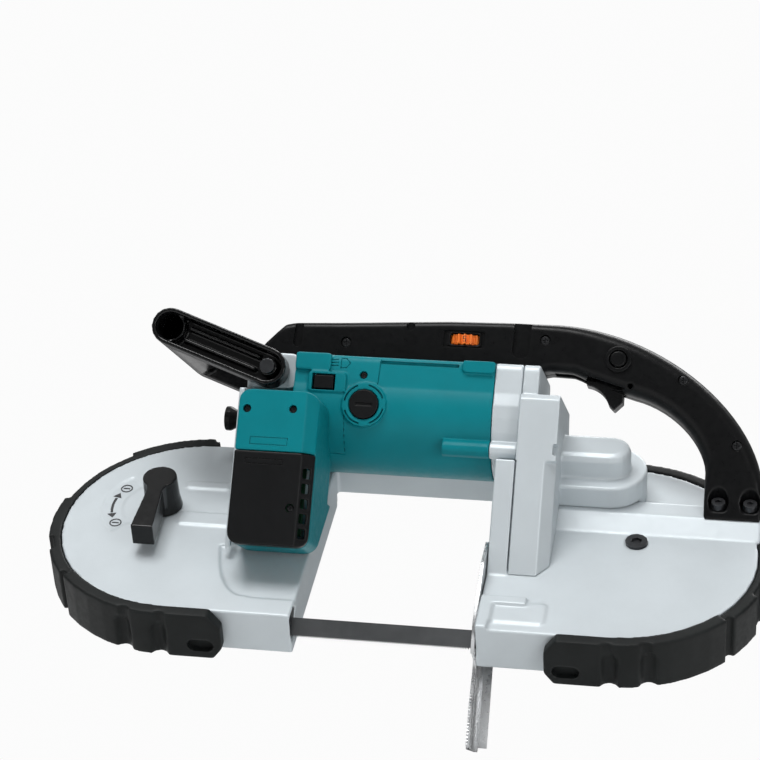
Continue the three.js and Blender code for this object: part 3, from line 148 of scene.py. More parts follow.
# ---------------------------------------------------------------- solids
class Solid:
    """Closed shapes gathered in one mesh, in millimetres."""

    def __init__(self):
        self.mesh = bmesh.new()

    def _close(self, faces):
        bmesh.ops.recalc_face_normals(self.mesh, faces=faces)
        return self

    def loft(self, rings):
        """Joins rings of points of equal length, and closes both ends."""
        rows = [[self.mesh.verts.new(point) for point in ring] for ring in rings]
        count = len(rows[0])
        faces = [self.mesh.faces.new(rows[0]), self.mesh.faces.new(rows[-1])]
        for low, high in zip(rows, rows[1:]):
            for i in range(count):
                j = (i + 1) % count
                faces.append(self.mesh.faces.new((low[i], low[j], high[j], high[i])))
        return self._close(faces)

    def prism(self, outline, low, high, axes=UP):
        rings = [[axes @ Vector((u, v, w)) for u, v in outline] for w in (low, high)]
        return self.loft(rings)

    def block(self, x0, x1, y0, y1, z0, z1, axes=UP):
        return self.prism(rectangle(x0, x1, y0, y1), z0, z1, axes)

    def rod(self, u, v, radius, low, high, axes=UP, steps=40):
        return self.prism(circle(u, v, radius, steps), low, high, axes)

    def turned(self, u, v, profile, axes=UP, steps=48):
        """A solid of revolution about (u, v); the profile lists (radius, w)."""
        rings = []
        for radius, w in profile:
            rings.append([axes @ Vector((a, b, w)) for a, b in circle(u, v, max(radius, 0.01), steps)])
        return self.loft(rings)

    def ring(self, u, v, outer, inner, low, high, axes=UP, steps=48):
        rings = []
        for radius, w in ((outer, low), (outer, high), (inner, high), (inner, low)):
            rings.append([axes @ Vector((a, b, w)) for a, b in circle(u, v, radius, steps)])
        rows = [[self.mesh.verts.new(point) for point in ring] for ring in rings]
        faces = []
        for k in range(4):
            low_row, high_row = rows[k], rows[(k + 1) % 4]
            for i in range(steps):
                j = (i + 1) % steps
                faces.append(self.mesh.faces.new((low_row[i], low_row[j], high_row[j], high_row[i])))
        return self._close(faces)

    def add_node(self, node):
        """Adds a copy of a CAD node's solid."""
        start = len(self.mesh.verts)
        self.mesh.from_mesh(NODES[node].data)
        self.mesh.verts.ensure_lookup_table()
        new = self.mesh.verts[start:]
        bmesh.ops.scale(self.mesh, vec=(1 / MM,) * 3, verts=new)
        bmesh.ops.remove_doubles(self.mesh, verts=new, dist=0.002)
        return self

    def object(self, name):
        mesh = bpy.data.meshes.new(name)
        self.mesh.to_mesh(mesh)
        self.mesh.free()
        mesh.transform(Matrix.Diagonal((MM, MM, MM, 1)))
        piece = bpy.data.objects.new(name, mesh)
        bpy.context.scene.collection.objects.link(piece)
        return piece


def settle(piece):
    """Applies a piece's modifiers, so that its mesh is the final one."""
    graph = bpy.context.evaluated_depsgraph_get()
    mesh = bpy.data.meshes.new_from_object(piece.evaluated_get(graph))
    old = piece.data
    piece.modifiers.clear()
    piece.data = mesh
    bpy.data.meshes.remove(old)
    return piece


def combine(piece, solid, operation, solver):
    tool = solid.object("tool")
    modifier = piece.modifiers.new("combine", "BOOLEAN")
    modifier.operation = operation
    modifier.solver = solver
    if solver == "EXACT":
        modifier.use_self = True
    modifier.object = tool
    settle(piece)
    bpy.data.objects.remove(tool)
    return piece


def carve(piece, solid, solver="MANIFOLD"):
    """Cuts a solid out of a piece. The exact solver also takes shapes that overlap themselves."""
    return combine(piece, solid, "DIFFERENCE", solver)


def soften(piece, voxel=VOXEL, passes=6):
    """Remeshes a piece into small even faces and rounds its edges, as a casting's are."""
    remesh = piece.modifiers.new("remesh", "REMESH")
    remesh.mode = "VOXEL"
    remesh.voxel_size = voxel * MM
    smooth = piece.modifiers.new("round", "SMOOTH")
    smooth.factor = 0.5
    smooth.iterations = passes
    return settle(piece)


def shade(piece, angle=35):
    """Smooth shading, with sharp edges where faces meet at more than the angle."""
    mesh = piece.data
    mesh.polygons.foreach_set("use_smooth", [True] * len(mesh.polygons))
    mesh.set_sharp_from_angle(angle=math.radians(angle))
    return piece


def finish_piece(piece, body, material, slot, *nodes):
    """Gives a piece its material and body, and hides the CAD nodes it stands for."""
    piece.data.materials.clear()
    piece.data.materials.append(material)
    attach(piece, body)
    if nodes:
        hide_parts(*nodes)
    return piece


# ---------------------------------------------------------------- materials
def new_node(tree, kind, **values):
    node = tree.nodes.new(kind)
    for name, value in values.items():
        node.inputs[name.replace("_", " ")].default_value = value
    return node


def noise(tree, coordinates, size_mm, detail=3.0):
    """A noise pattern whose features are about size_mm across."""
    node = new_node(tree, "ShaderNodeTexNoise", Scale=1 / (size_mm * MM), Detail=detail)
    tree.links.new(coordinates, node.inputs["Vector"])
    return node.outputs["Fac"]


def remap(tree, value, low, high):
    node = tree.nodes.new("ShaderNodeMapRange")
    node.inputs["From Min"].default_value = 0.3
    node.inputs["From Max"].default_value = 0.7
    node.inputs["To Min"].default_value = low
    node.inputs["To Max"].default_value = high
    tree.links.new(value, node.inputs["Value"])
    return node.outputs["Result"]


def finish(name, colour, roughness, metallic=0.0, grain=(0.5, 0.02), mottle=0.06, stretch=None,
           edge=0.0, coat=0.0, bevel=0.35, specular=0.5):
    """A moulded, cast or machined surface: broad colour drift, fine grain and softened edges.

    grain is (feature size in mm, bump height in mm); stretch scales the pattern along each axis,
    which draws the grain out into brushing; edge lightens the parts that hands and benches rub."""
    material = bpy.data.materials.new(name)
    material.use_nodes = True
    tree = material.node_tree
    shader = tree.nodes["Principled BSDF"]
    coordinates = tree.nodes.new("ShaderNodeTexCoord").outputs["Object"]
    if stretch is not None:
        mapping = tree.nodes.new("ShaderNodeMapping")
        mapping.inputs["Scale"].default_value = stretch
        tree.links.new(coordinates, mapping.inputs["Vector"])
        fine_coordinates = mapping.outputs["Vector"]
    else:
        fine_coordinates = coordinates
    broad = noise(tree, coordinates, 35, 4)
    spots = noise(tree, coordinates, 4, 5)
    fine = noise(tree, fine_coordinates, grain[0], 2)

    drift = tree.nodes.new("ShaderNodeMixRGB")
    drift.inputs["Color1"].default_value = (*[c * (1 - mottle) for c in colour], 1)
    drift.inputs["Color2"].default_value = (*[min(1, c * (1 + mottle)) for c in colour], 1)
    tree.links.new(remap(tree, broad, 0, 1), drift.inputs["Fac"])
    surface = drift.outputs["Color"]

    rough_mix = tree.nodes.new("ShaderNodeMath")
    rough_mix.operation = "ADD"
    tree.links.new(remap(tree, spots, roughness - 0.05, roughness + 0.05), rough_mix.inputs[0])
    tree.links.new(remap(tree, fine, -0.03, 0.03), rough_mix.inputs[1])
    tree.links.new(rough_mix.outputs[0], shader.inputs["Roughness"])

    if edge > 0:
        geometry = tree.nodes.new("ShaderNodeNewGeometry")
        worn = tree.nodes.new("ShaderNodeMapRange")
        worn.inputs["From Min"].default_value = 0.52
        worn.inputs["From Max"].default_value = 0.62
        worn.inputs["To Max"].default_value = edge
        tree.links.new(geometry.outputs["Pointiness"], worn.inputs["Value"])
        rub = tree.nodes.new("ShaderNodeMixRGB")
        rub.inputs["Color2"].default_value = (*[min(1, c * 1.5 + 0.03) for c in colour], 1)
        tree.links.new(worn.outputs["Result"], rub.inputs["Fac"])
        tree.links.new(surface, rub.inputs["Color1"])
        surface = rub.outputs["Color"]

    tree.links.new(surface, shader.inputs["Base Color"])
    shader.inputs["Metallic"].default_value = metallic
    shader.inputs["Specular IOR Level"].default_value = specular
    shader.inputs["Coat Weight"].default_value = coat
    shader.inputs["Coat Roughness"].default_value = 0.2

    bump = new_node(tree, "ShaderNodeBump", Strength=1.0, Distance=grain[1] * MM)
    tree.links.new(fine, bump.inputs["Height"])
    rounded = new_node(tree, "ShaderNodeBevel", Radius=bevel * MM)
    rounded.samples = 4
    tree.links.new(rounded.outputs["Normal"], bump.inputs["Normal"])
    tree.links.new(bump.outputs["Normal"], shader.inputs["Normal"])
    return material


SILVER = finish("silver_paint", (0.50, 0.545, 0.57), 0.46, 0.25, (0.35, 0.012), 0.03, edge=0.3)
TEAL = finish("teal_plastic", (0.0, 0.165, 0.195), 0.45, 0, (0.45, 0.03), 0.07, edge=0.12,
              specular=0.14)
BLACK = finish("black_plastic", (0.006, 0.0063, 0.0068), 0.4, 0, (0.5, 0.03), 0.15,
               edge=0.15, specular=0.14)
SATIN_BLACK = finish("black_grip", (0.0035, 0.0037, 0.004), 0.33, 0, (0.7, 0.03), 0.15, edge=0.15,
                     specular=0.16)
GLOSS_BLACK = finish("black_gloss", (0.003, 0.0032, 0.0035), 0.2, 0, (0.8, 0.008), 0.1,
                     specular=0.34)
RUBBER = finish("black_rubber", (0.009, 0.0105, 0.0105), 0.48, 0, (0.4, 0.05), 0.2,
                edge=0.25, specular=0.15)
STEEL = finish("zinc_steel", (0.56, 0.57, 0.58), 0.3, 1, (0.25, 0.01), 0.05, (1, 1, 0.06))
DARK_STEEL = finish("dark_steel", (0.06, 0.062, 0.066), 0.36, 0.9, (0.3, 0.012), 0.1)
BLACK_STEEL = finish("black_steel", (0.016, 0.0165, 0.018), 0.34, 0.6, (0.3, 0.012), 0.1)
BLADE_STEEL = finish("blade_steel", (0.10, 0.104, 0.108), 0.4, 0.8, (0.3, 0.008), 0.2,
                     (0.05, 1, 1), bevel=0.1)
BRONZE = finish("bronze", (0.5, 0.33, 0.12), 0.35, 1, (0.2, 0.01), 0.08)
COPPER = finish("copper", (0.55, 0.22, 0.09), 0.35, 0.9, (0.3, 0.03), 0.1, (0.1, 1, 1))
CARBON = finish("carbon", (0.03, 0.03, 0.03), 0.7, 0.1, (0.2, 0.02), 0.1)
ORANGE = finish("orange_plastic", (0.85, 0.19, 0.02), 0.4, 0, (0.4, 0.02), 0.05)
BOARD = finish("circuit_board", (0.01, 0.10, 0.04), 0.4, 0, (0.8, 0.03), 0.2)
MARKING = finish("marking_grey", (0.02, 0.021, 0.023), 0.5, 0, (0.5, 0.01), 0.05)


def lens_material():
    material = finish("lamp_lens", (0.8, 0.86, 0.9), 0.08, 0, (1.5, 0.05), 0.02)
    material.node_tree.nodes["Principled BSDF"].inputs["Transmission Weight"].default_value = 0.6
    return material


LENS = lens_material()
SLOT_MATERIALS = {
    "silver_paint": SILVER, "teal_plastic": TEAL, "black_plastic": BLACK, "black_rubber": RUBBER,
    "steel": STEEL, "dark_steel": DARK_STEEL, "blade_steel": BLADE_STEEL, "bronze": BRONZE,
    "copper": COPPER, "carbon": CARBON, "orange_plastic": ORANGE, "circuit_board": BOARD, "lens": LENS,
}


def dress_cad_nodes():
    """Gives every CAD node the material of its slot and smooth shading on its round faces."""
    for row in frame["record"]["subparts"]:
        node = NODES[row["node"]]
        node.data.materials.clear()
        node.data.materials.append(SLOT_MATERIALS[row["material_slot"]])
        weld = node.modifiers.new("weld", "WELD")
        weld.merge_threshold = 2e-6
        node.data.polygons.foreach_set("use_smooth", [True] * len(node.data.polygons))
        split = node.modifiers.new("split", "EDGE_SPLIT")
        split.split_angle = math.radians(40)


# ---------------------------------------------------------------- surface details
def face_y(piece, x, z):
    """Where a line along +Y first meets a piece, in millimetres."""
    start = Vector((x, -60, z)) * MM
    hit, place, _, _ = piece.ray_cast(start, Vector((0, 1, 0)))
    return place.y / MM if hit else None


def engrave(piece, lines, width=0.7, depth=0.6):
    """Cuts thin grooves along polylines (x, z) into a piece's front, in short steps that follow it."""
    step_length = 4
    overlap = 0.02
    solid = Solid()
    for line in lines:
        for (x0, z0), (x1, z1) in zip(line, line[1:]):
            start = Vector((x0, z0))
            span = Vector((x1 - x0, z1 - z0))
            count = max(1, round(span.length / step_length))
            side = Vector((-span.y, span.x)) / span.length * width / 2
            for step in range(count):
                a = start + span * (step - overlap) / count
                b = start + span * (step + 1 + overlap) / count
                middle = (a + b) / 2
                y = face_y(piece, middle.x, middle.y)
                if y is not None:
                    solid.prism([tuple(a - side), tuple(b - side), tuple(b + side), tuple(a + side)],
                                y - 2, y + depth, BACK)
    return carve(piece, solid)


def screw_seats(piece, places, heads, radius=3.4, depth=3.0):
    """Round seats in a piece's front at (x, z), with a cross-head screw down in each."""
    solid = Solid()
    for x, z in places:
        y = face_y(piece, x, z)
        solid.rod(x, z, radius, y - 3, y + depth, BACK, 32)
        heads.append((x, y + depth - 1.3, z, radius - 0.5))
    return carve(piece, solid)


def cross_screws(heads, name, material):
    """Pan-head screws facing the user, each with a cross cut in its head."""
    solid = Solid()
    cut = Solid()
    for x, y, z, radius in heads:
        solid.turned(x, z, [(radius, y + 1.3), (radius, y + 0.4), (radius * 0.7, y), (0, y)], BACK, 28)
        arm = radius * 0.62
        cut.block(x - arm, x + arm, z - 0.35, z + 0.35, y - 1, y + 0.9, BACK)
        cut.block(x - 0.35, x + 0.35, z - arm, z + arm, y - 1, y + 0.9, BACK)
    piece = carve(solid.object(name), cut, "EXACT")
    return finish_piece(shade(piece, 30), "frame", material, "dark_steel")


HEADS = []


# ---------------------------------------------------------------- castings
def frame_casting():
    """The frame, with the low ribs, scooped corner and sunken scale panel of its front."""
    solid = Solid().add_node("main_frame")
    inside = PLATE_FACE - 1.5
    solid.prism(rectangle(-163.5, -112, 86, 100, 2), inside, PLATE_FACE + 1.1, PLANE)
    solid.prism(rectangle(-167, -136, 128.5, 136, 2), inside, PLATE_FACE + 1.1, PLANE)
    solid.prism(rectangle(63.2, 72, 0, 27, 2), inside, PLATE_FACE + 2.6, PLANE)
    solid.prism(rectangle(66, 108, 3, 24, 3), inside, PLATE_FACE + 1.0, PLANE)
    for x in (-68.2, 63.1):
        solid.block(x, x + 5.1, WALL_P, WALL_P + 1.4, -4, 3, PLANE)
    piece = solid.object("frame_casting")
    cut = Solid()
    panel = arc(LEVER_X, LEVER_P, 45, 133, 227, 30) + arc(LEVER_X, LEVER_P, 29, 227, 133, 30)
    cut.prism(panel, PLATE_FACE - 0.7, PLATE_FACE + 3, PLANE)
    scoop = (
        [(-62, 66), (-128, 66)]
        + bezier((-128, 66), (-124, 44), (-118, 20), (-104, 13), 12)
        + [(-92, 11), (-62, 11)]
    )
    cut.prism(scoop, PLATE_FACE - 1.5, PLATE_FACE + 6, PLANE)
    carve(piece, cut, "EXACT")
    soften(piece, VOXEL * 1.35, 3)
    return finish_piece(shade(piece, 60), "frame", SILVER, "silver_paint", "main_frame")


def scale_marks():
    """Generic marks beside the lever: a curved double arrow between an open and a crossed ring."""
    low = PLATE_FACE - 0.8
    high = PLATE_FACE - 0.4
    solid = Solid()
    solid.prism(arc(LEVER_X, LEVER_P, 38.2, 170, 196, 16) + arc(LEVER_X, LEVER_P, 36.4, 196, 170, 16),
                low, high, PLANE)
    for angle, turn in ((168, -1), (198, 1)):
        at = math.radians(angle)
        out = Vector((math.cos(at), math.sin(at)))
        along = Vector((-out.y, out.x)) * turn
        centre = Vector((LEVER_X, LEVER_P)) + out * 37.3
        corners = [centre + along * 5, centre + out * 3.2, centre - out * 3.2]
        solid.prism([tuple(c) for c in corners], low, high, PLANE)
    for angle in (150, 216):
        at = math.radians(angle)
        u, v = LEVER_X + 37.2 * math.cos(at), LEVER_P + 37.2 * math.sin(at)
        solid.ring(u, v, 4.4, 3.5, low, high, PLANE, 32)
        solid.prism(rectangle(u - 2.4, u + 2.4, v - 0.5, v + 0.5), low, high, PLANE)
    return finish_piece(solid.object("scale_marks"), "frame", MARKING, "black_plastic")


def gear_castings():
    """Gear case and gear housing, with their dark parting line and screw pockets."""
    case = Solid().add_node("gear_case").object("gear_case_casting")
    finish_piece(shade(soften(case, VOXEL, 3), 60), "frame", SILVER, "silver_paint", "gear_case")
    housing = Solid().add_node("gear_housing").object("gear_housing_casting")
    soften(housing, VOXEL, 4)
    cut = Solid()
    cut.block(76, 78.1, 20, 31, 30, 134.5, UP)
    cut.prism(rectangle(102.2, 108, 139, 147, 1.2), 20, 38, BACK)
    carve(housing, cut)
    finish_piece(shade(housing, 40), "frame", SILVER, "silver_paint", "gear_housing")


# ---------------------------------------------------------------- covers
def motor_casing():
    """The motor housing, with its raised top block, switch surround, seams and vent slot."""
    solid = Solid().add_node("motor_housing")
    skin_outside = arc(MOTOR_Y, MOTOR_Z, MOTOR_RADIUS, 161, 379, 120)
    skin_inside = arc(MOTOR_Y, MOTOR_Z, MOTOR_RADIUS - 2, 379, 161, 120)
    solid.prism(skin_outside + skin_inside, MOTOR_LEFT, MOTOR_RIGHT, ALONG)
    solid.prism(rectangle(-85.5, -60, 192, 204.4, 2), 35.6, 44, BACK)
    solid.prism(rectangle(-75, -48, 176.5, 191, 2.5), 34.9, 42, BACK)
    solid.prism(rectangle(34, 57, 196, 204.4, 2), 36.0, 44, BACK)
    piece = solid.object("motor_casing")
    cut = Solid()
    cut.block(-71.6, -56.4, 178.3, 188.7, 30, 47, BACK)
    carve(piece, cut, "EXACT")
    soften(piece, VOXEL, 3)
    grooves = Solid()
    y = face_y(piece, 5, 200)
    grooves.prism(stadium(-24, 200.3, 30, 200.3, 1.3), y - 3, y + 2.2, BACK)
    grooves.block(-72.4, -55.6, 177.6, 189.4, 30, 45, BACK)
    for start in (20, 112, 200, 290):
        inner = arc(BRUSH_X, MOTOR_Z, 13.4, start + 60, start, 10)
        segment = arc(BRUSH_X, MOTOR_Z, 14.6, start, start + 60, 10) + inner
        grooves.prism(segment, 30, 35.4, BACK)
    carve(piece, grooves)
    seam = [(-24.5, 204), (-25.5, 184)]
    panel = [(-84, 136), (-47, 135), (-47.5, 160)]
    rays = [[(-60, z), (-55, z + 0.3)] for z in (196.0, 198.2, 200.4)]
    lamp = [(-53, 194.5), (-53, 201.8), (-49, 201.5), (-46.5, 198.4), (-49, 195), (-53, 194.5)]
    engrave(piece, [seam, panel] + rays + [lamp])
    screw_seats(piece, [(-36.2, 190.3)], HEADS, 2.9, 2.6)
    return finish_piece(shade(piece, 35), "frame", TEAL, "teal_plastic", "motor_housing")


def vent_openings():
    """Square-edged openings stacked up the slanted corner of the cover's foot."""
    solid = Solid()
    corner = Matrix.Translation((-62, -4, 0)) @ Matrix.Rotation(math.radians(-45), 4, "Z")
    for row in range(5):
        z = 66.5 + 10.4 * row
        solid.block(-10, 10, -3, 3, z, z + 6.4, corner)
    return solid


def covers():
    """The control cover in two colours: a teal top and a black vented foot."""
    top = soften(Solid().add_node("rear_cover").object("control_cover"), VOXEL, 8)
    engrave(top, [rectangle(-103, -77, 129.5, 134.5) + [(-103, 129.5)]], 0.6, 0.35)
    screw_seats(top, [(-107.3, 154.1), (-74.9, 155.2)], HEADS, 2.9, 3)
    finish_piece(shade(top, 35), "frame", TEAL, "teal_plastic", "rear_cover")
    foot = soften(Solid().add_node("vent_cover").object("vented_cover"), VOXEL * 0.85, 6)
    engrave(foot, [rectangle(-105, -79, 116, 119.5) + [(-105, 116)]], 0.6, 0.35)
    carve(foot, vent_openings())
    screw_seats(foot, [(-71.1, 86.6)], HEADS, 3.1, 3)
    finish_piece(shade(foot, 35), "frame", BLACK, "black_plastic", "vent_cover")


# ---------------------------------------------------------------- top handle
def handle_outline():
    """The top handle from the side, clockwise from its left foot."""
    left_end = [(-117, 204.6), (-119, 213), (-117, 218), (-109, 227), (-103, 231), (-94, 233)]
    top = [(-60, 234.5), (-20, 237), (18, 239.3), (60, 240.4), (97, 241)]
    grip_back = bezier((97, 241), (165, 241), (236, 190), (245.5, 136))
    foot = [(246.2, 115), (246.2, 95), (206.3, 95), (205.7, 120), (205.5, 141)]
    grip_inside = bezier((205.5, 141), (203, 165), (178, 187), (152, 192), 14)
    trigger_side = [(136, 196.5), (123, 200.5), (118, 202), (113, 204.3), (108, 206), (92, 206.6)]
    underside = [(84, 204.7), (-40, 204.6)]
    return left_end + top + grip_back + foot + grip_inside + trigger_side + underside


def edge_radius(x, z):
    """How round the handle's long edges are: full in the grip, small at its feet."""
    foot_radius, bridge_radius, grip_radius = 2.5, 5.5, 10.5
    grip = min(1, max(0, (x - 70) / 60))
    foot = min(1, max(0, (z - 120) / 25))
    if foot < 1:
        return foot_radius + foot * 7
    return bridge_radius + (grip_radius - bridge_radius) * grip


def inward_normals(outline):
    count = len(outline)
    normals = []
    for i in range(count):
        before, here, after = (Vector(outline[(i + k) % count]) for k in (-1, 0, 1))
        edges = [(here - before).normalized(), (after - here).normalized()]
        normal = Vector((0, 0))
        for edge in edges:
            normal += Vector((edge.y, -edge.x))
        normals.append(normal.normalized())
    return normals


def thicken_edges(solid, side, thickness=6.0, depth=11.0):
    """Fills the corners behind the grip's rounded edges, clear of the trigger and the feet."""
    outline = handle_outline()
    corners = list(zip(outline, inward_normals(outline)))
    face = HANDLE_Y + side * HANDLE_HALF
    low, high = sorted((face, face - side * depth))
    for ((x0, z0), n0), ((x1, z1), n1) in zip(corners, corners[1:]):
        near_trigger = 120 < x0 < 156 and z0 < 212
        if min(x0, x1) > 60 and min(z0, z1) > 125 and not near_trigger:
            inner1 = (x1 + n1.x * thickness, z1 + n1.y * thickness)
            inner0 = (x0 + n0.x * thickness, z0 + n0.y * thickness)
            solid.prism([(x0, z0), (x1, z1), inner1, inner0], low, high, BACK)
    return solid


def pillow(side):
    """The handle's half as a cushion: its outline shrinks in a quarter circle towards the face."""
    outline = handle_outline()
    normals = inward_normals(outline)
    steps = 8
    rings = [[(x, HANDLE_Y - side, z) for x, z in outline]]
    for step in range(steps + 1):
        turn = math.pi / 2 * step / steps
        ring = []
        for (x, z), normal in zip(outline, normals):
            radius = edge_radius(x, z)
            inset = radius * (1 - math.cos(turn)) * 0.85
            y = HANDLE_HALF - radius * (1 - math.sin(turn))
            ring.append((x + normal.x * inset, HANDLE_Y + side * y, z + normal.y * inset))
        rings.append(ring)
    return Solid().loft(rings)


def trigger_room():
    """The room the trigger takes up in the handle as it is pulled."""
    points = [vertex.co / MM for vertex in NODES["trigger"].data.vertices]
    low = [min(point[i] for point in points) - 0.8 for i in range(3)]
    high = [max(point[i] for point in points) + 0.8 for i in range(3)]
    return Solid().block(low[0], high[0], low[1], high[1], low[2], high[2] + TRIGGER_TRAVEL)


def handle_front():
    piece = thicken_edges(Solid().add_node("handle_front_half"), -1).object("handle_front")
    combine(piece, pillow(-1), "INTERSECT", "EXACT")
    soften(piece, VOXEL, 4)
    carve(piece, trigger_room())
    cut = Solid()
    left_recess = arc(-92.5, 217.5, 3.2, 180, 360, 10) + [(-88.6, 236), (-94.6, 236)]
    right_recess = arc(70, 220, 6.2, 180, 360, 14) + [(77, 246), (64.6, 246)]
    for recess in (left_recess, right_recess):
        cut.prism(recess, 60, 71.8, BACK)
    cut.rod(-10.5, 233.5, 3.2, 60, 71.6, BACK, 32)
    for reach, depth in ((15, 70.4), (12.4, 71.6)):
        height = 6.2 - (15 - reach) * 0.5
        window = rectangle(WINDOW_X - reach, WINDOW_X + reach, DIAL_Z - height, DIAL_Z + height, 1.5)
        cut.prism(window, 60, depth, BACK)
    carve(piece, cut)
    screw_seats(piece, [(-56.8, 219.5), (87.0, 228.3), (186.4, 204.6), (226.5, 160)], HEADS, 3.9, 2.3)
    return finish_piece(shade(piece, 40), "frame", SATIN_BLACK, "black_plastic", "handle_front_half")


def lock_ring():
    """The raised ring round the lock button."""
    solid = Solid().ring(LOCK_X, LOCK_Z, 9.4, 6.5, 67.3, 74, BACK)
    piece = shade(soften(solid.object("lock_ring"), 0.4, 3), 60)
    return finish_piece(piece, "frame", SATIN_BLACK, "black_plastic")


def handle_back():
    piece = thicken_edges(Solid().add_node("handle_back_half"), 1).object("handle_back")
    combine(piece, pillow(1), "INTERSECT", "EXACT")
    soften(piece, VOXEL, 4)
    carve(piece, trigger_room())
    return finish_piece(shade(piece, 40), "frame", SATIN_BLACK, "black_plastic", "handle_back_half")


# ---------------------------------------------------------------- rubber, handles, lever
def moulded(node, body, material, slot, voxel=1.0, passes=6, extra=None):
    """A CAD node's shape with its edges rounded, under the node's own name with a suffix."""
    solid = Solid().add_node(node)
    if extra is not None:
        extra(solid)
    piece = solid.object(node + "_moulded")
    soften(piece, voxel * VOXEL, passes)
    return finish_piece(shade(piece, 50), body, material, slot, node)


def loop_handle_ribs(solid):
    """Two ribs along the open channel of the loop handle's near arm, and a boss round its bolt."""
    x0, z0, x1, z1 = -178, 216.8, -104.3, 191.3
    along = Vector((x1 - x0, z1 - z0)).normalized()
    across = Vector((-along.y, along.x))
    start = Vector((x0, z0)) + along * 13
    end = Vector((x1, z1)) - along * 10
    for offset in (-4.6, 4.6):
        a, b = start + across * offset, end + across * offset
        solid.prism(stadium(a.x, a.y, b.x, b.y, 1.1, 6), 35, 45.5, BACK)
    solid.ring(x0, z0, 10.6, 9.2, 32, 45.5, BACK)


def outer_p(x):
    """The height p of a front bumper's outer wall."""
    beyond = max(0, abs(x) - LOBE_X)
    return LOBE_P - math.sqrt(BUMPER_RADIUS ** 2 - beyond ** 2)


def front_bumper(side):
    """A thick rubber foot with cut-off corners, two scooped grooves and an oblong hole."""
    name = "right" if side > 0 else "left"
    outer = LOBE_P - BUMPER_RADIUS
    solid = Solid().add_node(f"front_bumper_{name}")
    solid.block(side * 114, side * 137, outer, outer + 3.6, -12, 0, PLANE)
    piece = solid.object(f"bumper_{name}")
    below = PLANE @ BACK
    cut = Solid()
    for corner in (((109, 20), (120, 20), (109, 5)), ((109, -22), (118, -22), (109, -10))):
        outline = [(side * x, n) for x, n in corner]
        cut.prism(outline, -30, 4, below)
    for x in (154, 180):
        cut.turned(side * x, outer_p(x) - 1.2, [(5.8, -24), (5.8, 4), (3.6, 9), (0, 12)], PLANE, 32)
    carve(piece, cut, "EXACT")
    soften(piece, VOXEL * 1.1, 24)
    hole = Solid()
    hole.prism(stadium(side * 120.5, -8.5, side * 129, -8.5, 5), -20, outer_p(125) + 4.5, below)
    carve(piece, hole)
    node = f"front_bumper_{name}"
    return finish_piece(shade(piece, 50), "frame", RUBBER, "black_rubber", node)


def rubber_parts():
    for side, name in ((-1, "left"), (1, "right")):
        front_bumper(side)
        moulded(f"rim_bumper_{name}", "frame", RUBBER, "black_rubber", 1.2, 18)


def lever():
    """The tension lever: one flat top runs from its round head out along the arm."""
    solid = Solid()
    base = PLATE_FACE + 0.4
    head = [(14.2, base), (12.8, base + 9), (12.2, 41), (0, 41)]
    solid.turned(LEVER_X, LEVER_P, head, PLANE)
    sections = []
    for n in (22, 40.9):
        drop = 0 if n < 30 else 2.5
        outline = [(-10.5, 2), (10.5, 2), (5.6, -15), (7.8, -54.5), (-7.8, -54.5), (-5.6, -15)]
        sections.append([PLANE @ Vector((LEVER_X + x, LEVER_P + p, n - (drop if p < -20 else 0)))
                         for x, p in outline])
    solid.loft(sections)
    solid.rod(LEVER_X, LEVER_P, 5, 11.3, base + 1, PLANE)
    solid.rod(LEVER_X - 2.5, LEVER_P, 3, 7.7, 11.35, PLANE)
    piece = soften(solid.object("tension_lever_moulded"), VOXEL * 0.6, 4)
    return finish_piece(shade(piece, 50), "lever", GLOSS_BLACK, "black_plastic", "tension_lever")


def trigger():
    """The trigger, hollowed in front for the finger."""
    piece = Solid().add_node("trigger").object("trigger_moulded")
    finger = Solid().rod(116.6, 180.5, 18.5, 60, 112, BACK, 96)
    carve(piece, finger, "EXACT")
    soften(piece, VOXEL * 0.6, 5)
    return finish_piece(shade(piece, 50), "switch_trigger", GLOSS_BLACK, "black_plastic", "trigger")


def small_parts():
    moulded("loop_handle", "frame", GLOSS_BLACK, "black_plastic", 1, 4, loop_handle_ribs)
    moulded("loop_handle_bolt", "frame", DARK_STEEL, "dark_steel", 0.4, 2)
    moulded("cord_guard", "frame", SATIN_BLACK, "black_plastic", 0.7, 6)
    lever()
    trigger()
    moulded("lock_button", "switch_lock", SATIN_BLACK, "black_plastic", 0.5, 4)
    moulded("lamp_switch", "lamp_rocker", BLACK, "black_plastic", 0.4, 3)
    for side in ("front", "back"):
        moulded(f"brush_cap_{side}", "frame", BLACK, "black_plastic", 0.5, 3)


